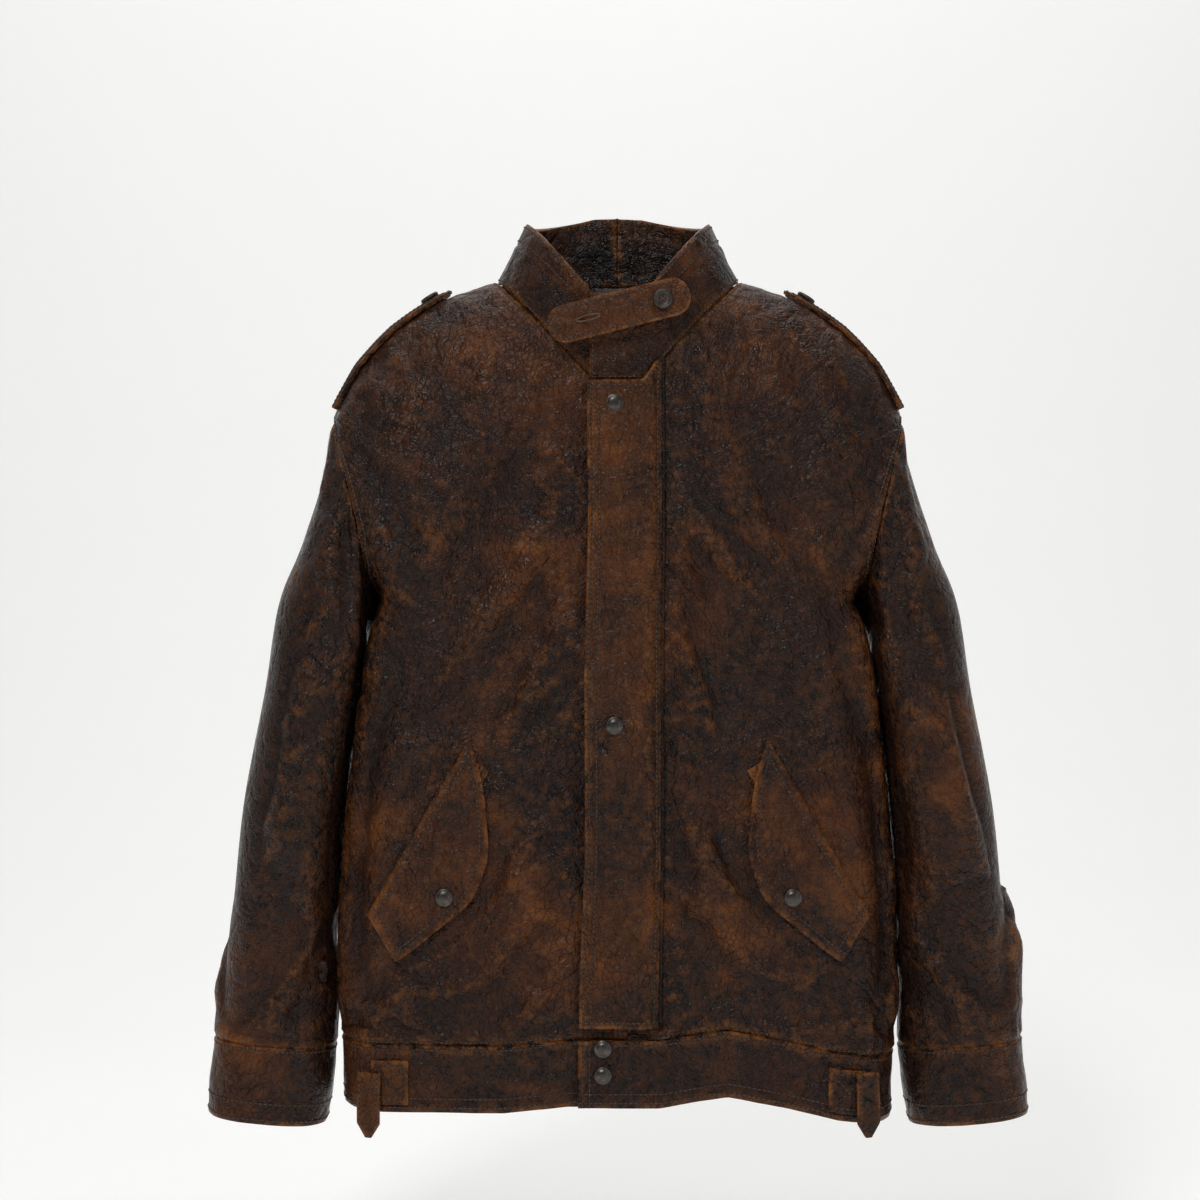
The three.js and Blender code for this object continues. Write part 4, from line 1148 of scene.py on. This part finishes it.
for edge in ("first", "last"):
    stitchLine("stitch_tab_" + edge, seamPath(tabPanel, edge, 0.0042, 0.14, 0.86), ridesOn("collar_tab"))
holeLine = []
for k in range(20):
    a = math.tau * k / 19
    along, up = -0.066 + 0.0105 * math.cos(a), 0.0022 * math.sin(a)
    holeLine.append((tab["button"][0] + along * math.cos(tab["tilt"]) - up * math.sin(tab["tilt"]),
                     tabFace - 0.0009,
                     tab["button"][1] + along * math.sin(tab["tilt"]) + up * math.cos(tab["tilt"])))
buttonhole = tube("tabButtonhole", holeLine, 0.0009, "thread")
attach(buttonhole, "collar_tab")
tabDisc = Vector((tab["button"][0], tabFace - 0.0004, tab["button"][1]))
addButton("collar_tab_button", tabDisc, (0, -1, 0), "front_left", height=0.0042)
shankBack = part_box("collar_tab_button")[1][1]
shank = spun("tabShank", [(0, 0), (0.0018, 0), (0.0018, shankBack - tabDisc.y), (0, shankBack - tabDisc.y)],
             (tabDisc.x, shankBack, tabDisc.z), (0, -1, 0), "thread", 16)
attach(shank, "front_left")
print("throat tab")

# pockets: slanted flaps with a stitched border over a welted mouth
pocket = {"top": (halfWidth - 0.116, waistZ + 0.262), "foot": (halfWidth - 0.029, waistZ + 0.117),
          "thick": 0.003,
          "free": [(0.001, 0.003), (0.030, 0.034), (0.078, 0.068), (0.118, 0.076), (0.192, 0.049),
                   (0.198, 0.045)],
          "bulge": 0.0022}
pocketTop, pocketFoot = np.array(pocket["top"]), np.array(pocket["foot"])
pocketAlong = (pocketFoot - pocketTop) / np.linalg.norm(pocketFoot - pocketTop)
pocketIn = np.array((pocketAlong[1], -pocketAlong[0]))
pocketRun = float(np.linalg.norm(pocketFoot - pocketTop))


def pocketPoint(along, away):
    return pocketTop + pocketAlong * along + pocketIn * away


freeEdge = np.array(pocket["free"])
freeRun = np.concatenate([[0], np.cumsum(np.linalg.norm(np.diff(freeEdge, axis=0), axis=1))])


def pocketGrid(depth, bulge, flapRows=26, flapColumns=64):
    grid = np.zeros((flapRows + 1, flapColumns + 1, 3))
    for c in range(flapColumns + 1):
        u = c / flapColumns
        near = min(0.045, u, 1 - u)
        soft = [float(np.interp((u + step) * freeRun[-1], freeRun, freeEdge[:, k])) for step in (-near,
                0, near) for k in (0, 1)]
        edge = np.array((np.mean(soft[0::2]), np.mean(soft[1::2])))
        root = np.array(((pocketRun + 0.006) * u, 0.003 * u))
        for r in range(flapRows + 1):
            w = r / flapRows
            along, away = root * (1 - w) + edge * w
            x, z = pocketPoint(along, away)
            puff = bulge * math.sin(math.pi * min(1, w * 1.1)) * math.sin(math.pi * u)
            puff += 0.0012 * noise.noise(Vector((x * 32, 2, z * 32)))
            curl = 0.0014 * float(smoothStep(0.8, 1.0, w)) + 0.0018 * float(smoothStep(0.07, 0.0, w))
            grid[r, c] = (x, depth - puff + curl, z)
    return grid


for side, sign in sideSign.items():
    low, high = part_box("pocket_flap_" + side)
    grid = pocketGrid(low[1], pocket["bulge"])
    grid[:, :, 0] *= sign
    normals = gridNormals(grid, -sign)
    if normals[10, 10][1] > 0:
        normals = -normals
    panel = wornAndShadedPanel(grid, normals, 0.05, 0.0042, -(grid[:, :, 1] - softened(grid[:, :, 1], 10)))
    hinge = pocketPoint(0.08, -0.001)
    inward = pocketPoint(0.08, 0.014)

    def holdPocket(piece, side=side, sign=sign, hinge=hinge, inward=inward):
        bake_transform(piece)

    dress("pocketFlap_" + side, panel, pocket["thick"], "shell", holdPocket, ["pocket_flap_" + side],
          bevel=0.0007)
    for edge, start, stop in (("high", 0.03, 1.0), ("last", 0.0, 1.0), ("low", 0.02, 0.98)):
        stitchLine(f"stitch_pocket_{side}_{edge}", seamPath(panel, edge, 0.0085, start, stop), holdPocket)
    addCap("pocket_cap_" + side, "pocket_flap_" + side, shift=(0, -0.0012, 0))
    addStud("pocket_stud_" + side, "jacket")

    # the mouth under the flap: two lips and a dark slit between them, then the bag behind
    for lip, (near, far) in {"inner": (0.012, 0.0205), "outer": (0.0215, 0.030)}.items():
        lipGrid = np.zeros((9, 40, 3))
        for r in range(9):
            for c in range(40):
                x, z = pocketPoint(0.014 + (pocketRun - 0.060) * c / 39, near + (far - near) * r / 8)
                lipGrid[r, c] = (sign * x, frontY - 0.0004 - 0.0012 * math.sin(math.pi * r / 8), z)
        rubAndCreaseShade = wearAndCreaseShadeOf(lipGrid, np.zeros((9, 40)), edgeDistance(lipGrid))
        welt = layered(f"pocketLip_{side}_{lip}", lipGrid, frontNormals(lipGrid), 0.0012, "trim", rubAndCreaseShade)
        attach(welt, "jacket")
    bagLow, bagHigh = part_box("pocket_bag_" + side)
    bagGrid = np.zeros((25, 33, 3))
    bagThick = np.zeros((25, 33))
    for r in range(25):
        for c in range(33):
            x, z = pocketPoint(0.004 + (pocketRun - 0.040) * c / 32, 0.003 + 0.080 * r / 24)
            rim = math.sin(math.pi * c / 32) * math.sin(math.pi * r / 24)
            bagThick[r, c] = 0.0012 + (bagHigh[1] - bagLow[1] - 0.0025) * min(1, 2.2 * rim)
            bagGrid[r, c] = (sign * x, bagLow[1] + 0.0006 + 0.0006 * noise.noise(Vector((x * 40, 1,
                                                                                         z * 40))), z)
    bag = layered("pocketBag_" + side, bagGrid, frontNormals(bagGrid), bagThick, "lining")
    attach(bag, "jacket")
    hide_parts("pocket_bag_" + side)
print("pockets")

# epaulettes along the shoulder ridge
strap = {"half": 0.0205, "raise": 0.0030, "thick": 0.0030, "vs": (6.10, 9.25), "button": 8.9}
for side, sign in sideSign.items():
    rows, columns = 80, 18
    grid = np.zeros((rows + 1, columns + 1, 3))
    for r in range(rows + 1):
        t = r / rows
        v = strap["vs"][0] + (strap["vs"][1] - strap["vs"][0]) * t
        whole = quarter(ringAt(rings, v), halfDepth)[2]
        round_ = math.sqrt(max(0.03, 1 - max(0, (t - 0.86) / 0.14) ** 2.2))
        for c in range(columns + 1):
            offset = (c / columns - 0.5) * 2 * strap["half"] * round_ / whole
            here = surfacePoint(rings, v, 1 + offset)
            across = surfacePoint(rings, v, 1 + offset + 0.02) - surfacePoint(rings, v, 1 + offset - 0.02)
            up = surfacePoint(rings, min(10, v + 0.05), 1 + offset) - surfacePoint(rings, v - 0.05,
                                                                                   1 + offset)
            out = np.cross(across, up)
            out /= np.linalg.norm(out)
            ripple = 0.0010 * noise.noise(Vector(here) * 30) + 0.0008 * math.sin(math.pi * c / columns)
            grid[r, c] = here + out * (strap["raise"] + strap["thick"] + ripple)
    grid[:, :, 0] *= sign
    panel = wornAndShadedPanel(grid, gridNormals(grid, sign), 0.1, 0.004)
    root, inward = grid[0, columns // 2], grid[10, columns // 2]

    def holdStrap(piece, side=side, root=root, inward=inward):
        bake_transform(piece)

    dress("epaulette_" + side, panel, strap["thick"], "shell", holdStrap, ["epaulette_" + side],
          bevel=0.0006)
    for edge in ("first", "last"):
        stitchLine(f"stitch_epaulette_{side}_{edge}", seamPath(panel, edge, 0.0035, 0.0, 0.97), holdStrap)
        stitchLine(f"stitch_epaulette_{side}_{edge}_inner", seamPath(panel, edge, 0.0085, 0.0, 0.93),
                   holdStrap)
    stitchLine(f"stitch_epaulette_{side}_end", seamPath(panel, "high", 0.0035, 0.08, 0.92), holdStrap)
    share = (strap["button"] - strap["vs"][0]) / (strap["vs"][1] - strap["vs"][0]) * rows
    seat = Vector(sampled(grid, share, columns * 0.42))
    up = Vector(sampled(panel["normals"], share, columns * 0.42))
    addButton("epaulette_button_" + side, seat - up * 0.0004, up, "epaulette_" + side)
print("epaulettes")

# cuffs
cuff = {"thick": 0.0034, "from": -0.72, "to": 1.16, "stand": 0.0006, "ripple": 0.0012}
for side, sign in sideSign.items():
    rows, columns = 18, 96
    grid = np.zeros((rows + 1, columns + 1, 3))
    for r in range(rows + 1):
        for c in range(columns + 1):
            angle = math.pi * (cuff["from"] + (cuff["to"] - cuff["from"]) * c / columns)
            grid[r, c] = sleevePoint(cuffV - 0.02 + 1.02 * r / rows, angle)
    grid[:, :, 0] *= sign
    flip = 1 if gridNormals(grid)[9, 37][0] * sign > 0 else -1
    panel = roughened(grid, flip, cuff["ripple"], 30, 0.15, 0.004, seed=sign)
    panel["grid"] = panel["grid"] + panel["normals"] * cuff["stand"]
    dress("cuff_" + side, panel, cuff["thick"], "sleeve", ridesOn("sleeve_" + side), ["cuff_" + side])
    for edge, inset in (("low", 0.0035), ("high", 0.004), ("high", 0.0185)):
        stitchLine(f"stitch_cuff_{side}_{edge}_{round(inset * 1e4)}", seamPath(panel, edge, inset),
                   ridesOn("sleeve_" + side))
    for edge in ("first", "last"):
        stitchLine(f"stitch_cuff_{side}_{edge}", seamPath(panel, edge, 0.004), ridesOn("sleeve_" + side))
    column = (-0.62 - cuff["from"]) / (cuff["to"] - cuff["from"]) * columns
    seat, out = Vector(sampled(panel["grid"], rows / 2, column)), Vector(sampled(panel["normals"],
                                                                                 rows / 2, column))
    cap = spun("cuffCap_" + side, placed(capProfile, snap["radius"], snap["height"]), seat, out, "snap")
    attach(cap, "sleeve_" + side)
    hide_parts("cuff_cap_" + side)
print("cuffs")

# side adjusters on the waistband
adjuster = {"start": halfWidth - 0.064, "size": 0.036, "stand": 0.0030, "width": 0.022, "length": 0.046,
            "thick": 0.0024}
for side, sign in sideSign.items():
    grid = np.zeros((13, 17, 3))
    for r in range(13):
        v = 0.12 + 0.66 * r / 12
        shape = ringAt(bandRings, v)
        first = turnAtX(shape, adjuster["start"])
        for c in range(17):
            grid[r, c] = surfacePoint(bandRings, v,
                                      first + adjuster["size"] / quarter(shape, halfDepth)[2] * c / 16)
    grid[:, :, 0] *= sign
    grid[:, :, 2] += swayed(grid)
    normals = gridNormals(grid, sign)
    grid = grid + normals * adjuster["stand"]
    panel = wornAndShadedPanel(grid, normals, 0.3, 0.004)
    dress("adjusterPatch_" + side, panel, adjuster["thick"], "trim", ridesOn("jacket"),
          ["adjuster_patch_" + side], bevel=0.0006)
    for edge in ("low", "high", "first", "last"):
        stitchLine(f"stitch_patch_{side}_{edge}", seamPath(panel, edge, 0.0045, 0.1, 0.9),
                   ridesOn("jacket"))
    for number, (a, b) in enumerate((((2, 2), (10, 14)), ((10, 2), (2, 14)))):
        line = [sampled(grid, a[0] + (b[0] - a[0]) * k / 12,
                        a[1] + (b[1] - a[1]) * k / 12) for k in range(13)]
        out = [sampled(normals, a[0] + (b[0] - a[0]) * k / 12,
                       a[1] + (b[1] - a[1]) * k / 12) for k in range(13)]
        stitchLine(f"stitch_patchCross_{side}_{number}", (np.array(line), np.array(out)), ridesOn("jacket"))
    low, high = (Vector(v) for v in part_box("adjuster_strap_" + side))
    hang = Vector(((low.x + high.x) / 2, grid[3, 14][1], high.z - 0.010))
    out = Vector(normals[3, 15])
    across = Vector((0, 0, 1)).cross(out).normalized()
    rows, columns = 40, 8
    tape = np.zeros((rows + 1, columns + 1, 3))
    for r in range(rows + 1):
        t = r / rows
        drop = (high.z - low.z) * t
        point = max(0.0, (t - 0.78) / 0.22)
        for c in range(columns + 1):
            u = (c / columns - 0.5) * adjuster["width"] * (1 - 0.75 * point)
            curve = 0.0015 * math.sin(math.pi * t * 1.2) + 0.0030 * t ** 2
            spot = hang + out * (0.0026 + curve) + across * u + Vector((0, 0, 0.008 - drop))
            tape[r, c] = spot
    strapNormals = gridNormals(tape, 1)
    if strapNormals[20, 4] @ np.array(out) < 0:
        strapNormals = -strapNormals
    panel = wornAndShadedPanel(tape, strapNormals, 0.2, 0.0035)
    dress("adjusterStrap_" + side, panel, adjuster["thick"], "trim", ridesOn("adjuster_" + side),
          ["adjuster_strap_" + side], bevel=0.0006)
    for edge in ("first", "last"):
        stitchLine(f"stitch_strap_{side}_{edge}", seamPath(panel, edge, 0.003, 0.0, 0.8),
                   ridesOn("adjuster_" + side))
print("adjusters")

# cloth lining
lining = {"inset": 0.014, "neckInset": 0.0045, "thick": 0.0009, "sleeveInset": 0.0080}


def liningOf(panel, insetNow, rows=None, ripple=0.0012):
    grid = panel["rest"][rows] if rows is not None else panel["rest"]
    normals = gridNormals(grid, panel["flip"], panel.get("closed", False))
    waves = np.array([[ripple * noise.noise(Vector((p[0] * 22, p[1] * 18,
                                                    p[2] * 9))) for p in row] for row in grid])
    if panel.get("closed"):
        waves[:, -1] = waves[:, 0]
    return grid - normals * (insetNow - waves)[:, :, None], normals


bodyRows = [i for i, v in enumerate(rowsV) if v >= 0.12]
liningInset = np.array([lining["inset"] + (lining["neckInset"] - lining["inset"])
                        * float(smoothStep(9.0, 10.0, rowsV[i])) for i in bodyRows])
grid, normals = liningOf(shell["back"], np.repeat(liningInset[:, None], rowCounts["back"] + 1, axis=1),
                         bodyRows)
piece = layered("liningBack", grid[:, 2:-2], normals[:, 2:-2], lining["thick"], "lining")
ridesOn("jacket")(piece)
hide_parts("lining_back")
sheets.append((piece, (0.58, 0.70), 0.73))
for side in sideSign:
    insets = np.repeat(liningInset[:, None], rowCounts["front"] + 1, axis=1)
    grid, normals = liningOf(shell["front_" + side], insets, bodyRows)
    piece = layered("lining_" + side, grid[:, 4:-2], normals[:, 4:-2], lining["thick"], "lining")
    holdFront()(piece)
    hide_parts("lining_" + side)
    sheets.append((piece, (0.28, 0.64), 0.65))
    sleeveRowsKept = [i for i, v in enumerate(sleeveV) if 0.04 <= v <= 5.92]
    panel = shell["sleeve_" + side]
    insets = np.full((len(sleeveRowsKept), panel["rest"].shape[1]), lining["sleeveInset"])
    grid, normals = liningOf(panel, insets, sleeveRowsKept, 0.0008)
    piece = layered("sleeveLining_" + side, grid, normals, lining["thick"], "lining", closed=True)
    holdSleeve()(piece)
    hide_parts("sleeve_lining_" + side)
    sheets.append((piece, (0.39, 0.53), 0.67))
print("linings")

# hanging loop
low, high = (Vector(v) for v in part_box("hang_loop"))
loop = []
for k in range(41):
    t = k / 40
    swing = math.sin(math.pi * t)
    loop.append((low.x + 0.0022 + (high.x - low.x - 0.0044) * t,
                 high.y - 0.0022 - (high.y - low.y - 0.0044) * swing,
                 high.z - 0.001 - (high.z - low.z - 0.004) * swing ** 0.6))
piece = tube("hangLoop", loop, 0.0022, "trim", 5)
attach(piece, "jacket")
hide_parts("hang_loop")

# zip: woven tapes, separate teeth, and the slider and pull in aged brass
zipWork = {"pitch": 0.0026, "tooth": 0.0014, "mesh": 0.0013}
for side, sign in sideSign.items():
    low, high = (Vector(v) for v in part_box("zip_tape_" + side))
    grid = np.zeros((180, 9, 3))
    for r in range(180):
        for c in range(9):
            z = low.z + (high.z - low.z) * r / 179
            grid[r, c] = (low.x + (high.x - low.x) * c / 8,
                          low.y + 0.0002 * noise.noise(Vector((c, 0, z * 40))), z)
    tape = layered("zipTape_" + side, grid, frontNormals(grid), high.y - low.y, "tape")
    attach(tape, "front_" + side)
    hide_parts("zip_tape_" + side)
    low, high = (Vector(v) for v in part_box("zip_teeth_" + side))
    count = int((high.z - low.z) / zipWork["pitch"])
    bm = bmesh.new()
    bmesh.ops.create_cube(bm, size=1)
    bmesh.ops.bevel(bm, geom=bm.edges[:], offset=0.16, segments=1, affect="EDGES", profile=0.5, material=-1)
    bmesh.ops.scale(bm, vec=(high.x - low.x, high.y - low.y, zipWork["tooth"]), verts=bm.verts[:])
    meshing = zipWork["mesh"] if side == "left" else 0
    bmesh.ops.translate(bm, vec=((low.x + high.x) / 2, (low.y + high.y) / 2,
                                 low.z + zipWork["pitch"] / 2 + meshing), verts=bm.verts[:])
    teeth = finishPiece("zipTeeth_" + side, bm, "brass", smooth=False)
    row = teeth.modifiers.new("Array", "ARRAY")
    row.count = count - 1
    row.use_relative_offset = False
    row.use_constant_offset = True
    row.constant_offset_displace = (0, 0, zipWork["pitch"])
    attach(teeth, "front_" + side)
    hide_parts("zip_teeth_" + side)
for node in ("zip_slider", "zip_pull"):
    for place in bpy.data.objects[node].material_slots:
        place.material = finishes["brass"]
print("zip")

# seams on the shell
for side in sideSign:
    front = shell["front_" + side]
    top, low3 = rowsV.searchsorted(6) / (len(rowsV) - 1), rowsV.searchsorted(3) / (len(rowsV) - 1)
    for inset in (0.0030, 0.0095):
        stitchLine(f"stitch_armhole_{side}_{round(inset * 1e4)}",
                   seamPath(front, "last", inset, low3, top), holdFront())
        path = seamPath(shell["back"], "last" if side == "right" else "first", inset, low3, top)
        stitchLine(f"stitch_armholeBack_{side}_{round(inset * 1e4)}", path, ridesOn("jacket"))
    stitchLine(f"stitch_side_{side}", seamPath(front, "last", 0.003, 0.0, low3), holdFront())
    stitchLine(f"stitch_shoulder_{side}", seamPath(front, "last", 0.003, top, 1.0), holdFront())
    stitchLine(f"stitch_neckFront_{side}", seamPath(front, "high", 0.0035), holdFront())
    stitchLine(f"stitch_waist_{side}", seamPath(front, "low", 0.0035), holdFront())
    stitchLine(f"stitch_edge_{side}", seamPath(front, "first", 0.004), holdFront())
stitchLine("stitch_waistBack", seamPath(shell["back"], "low", 0.0035), ridesOn("jacket"))
stitchLine("stitch_neckBack", seamPath(shell["back"], "high", 0.0035), ridesOn("jacket"))
print("seams")

# floor, light and camera
studio = {"half": 6, "near": -5, "far": 1.0, "floor": -0.95, "radius": 1.2, "flatPart": 0.55,
          "bentPart": 0.2,
          "climb": 16}
bm = bmesh.new()
bmesh.ops.create_grid(bm, x_segments=1, y_segments=40, size=1)
for vert in bm.verts:
    t = (vert.co.y + 1) / 2
    x = vert.co.x * studio["half"]
    if t <= studio["flatPart"]:
        vert.co = (x, studio["near"] + (studio["far"] - studio["near"]) / studio["flatPart"] * t,
                   studio["floor"])
        continue
    past = t - studio["flatPart"]
    bend = min(1.0, past / studio["bentPart"]) * math.pi / 2
    rise = max(0.0, past - studio["bentPart"]) * studio["climb"] + studio["radius"] * (1 - math.cos(bend))
    vert.co = (x, studio["far"] + studio["radius"] * math.sin(bend), studio["floor"] + rise)
sweep = bpy.data.meshes.new("studioSweep")
bm.to_mesh(sweep)
bm.free()
backdrop = bpy.data.objects.new("studioSweep", sweep)
bpy.context.collection.objects.link(backdrop)
sweep.polygons.foreach_set("use_smooth", [True] * len(sweep.polygons))
pale = Shading("paleStudio")
pale.join(pale.ramp(pale.speckle(3, 2), 0.3, 0.7, 0.75, 0.85), pale.surface.inputs["Roughness"])
pale.surface.inputs["Base Color"].default_value = (0.80, 0.80, 0.79, 1)
pale.surface.inputs["Emission Color"].default_value = (1, 1, 0.99, 1)
pale.surface.inputs["Emission Strength"].default_value = 0.30
sweep.materials.append(pale.material)


def softbox(name, place, aim, size, power):
    lamp = bpy.data.lights.new(name, "AREA")
    lamp.shape = "RECTANGLE"
    lamp.size, lamp.size_y = size
    lamp.energy = power
    light = bpy.data.objects.new(name, lamp)
    light.location = place
    light.rotation_euler = (Vector(aim) - Vector(place)).to_track_quat("-Z", "Y").to_euler()
    bpy.context.collection.objects.link(light)


softbox("keyLight", (-0.8, -2.2, 1.7), (0, 0, -0.35), (0.6, 0.6), 38)
softbox("fillLight", (1.9, -1.8, 0.2), (0, 0, -0.4), (1.0, 1.6), 7)
softbox("topLight", (0, -0.4, 2.0), (0, 0, -0.3), (1.6, 1.0), 12)
softbox("sweepLight", (0, 1.2, 2.6), (0, 1.8, -0.8), (3, 1), 30)
world = bpy.data.worlds.new("studioWorld")
world.use_nodes = True
world.node_tree.nodes["Background"].inputs["Color"].default_value = (1, 1, 1, 1)
world.node_tree.nodes["Background"].inputs["Strength"].default_value = 0.10
bpy.context.scene.world = world
bpy.context.scene.view_settings.view_transform = "Standard"

view = {"distance": 2.0, "across": -0.016, "height": -0.2965, "width": 1.062}
lens = bpy.data.cameras.new("camera")
lens.sensor_width = 36
lens.lens = 36 * (view["distance"] - 0.03) / view["width"]
camera = bpy.data.objects.new("camera", lens)
camera.location = (view["across"], -view["distance"], view["height"])
camera.rotation_euler = (math.pi / 2, 0, 0)
bpy.context.collection.objects.link(camera)
bpy.context.scene.camera = camera

print("studio")
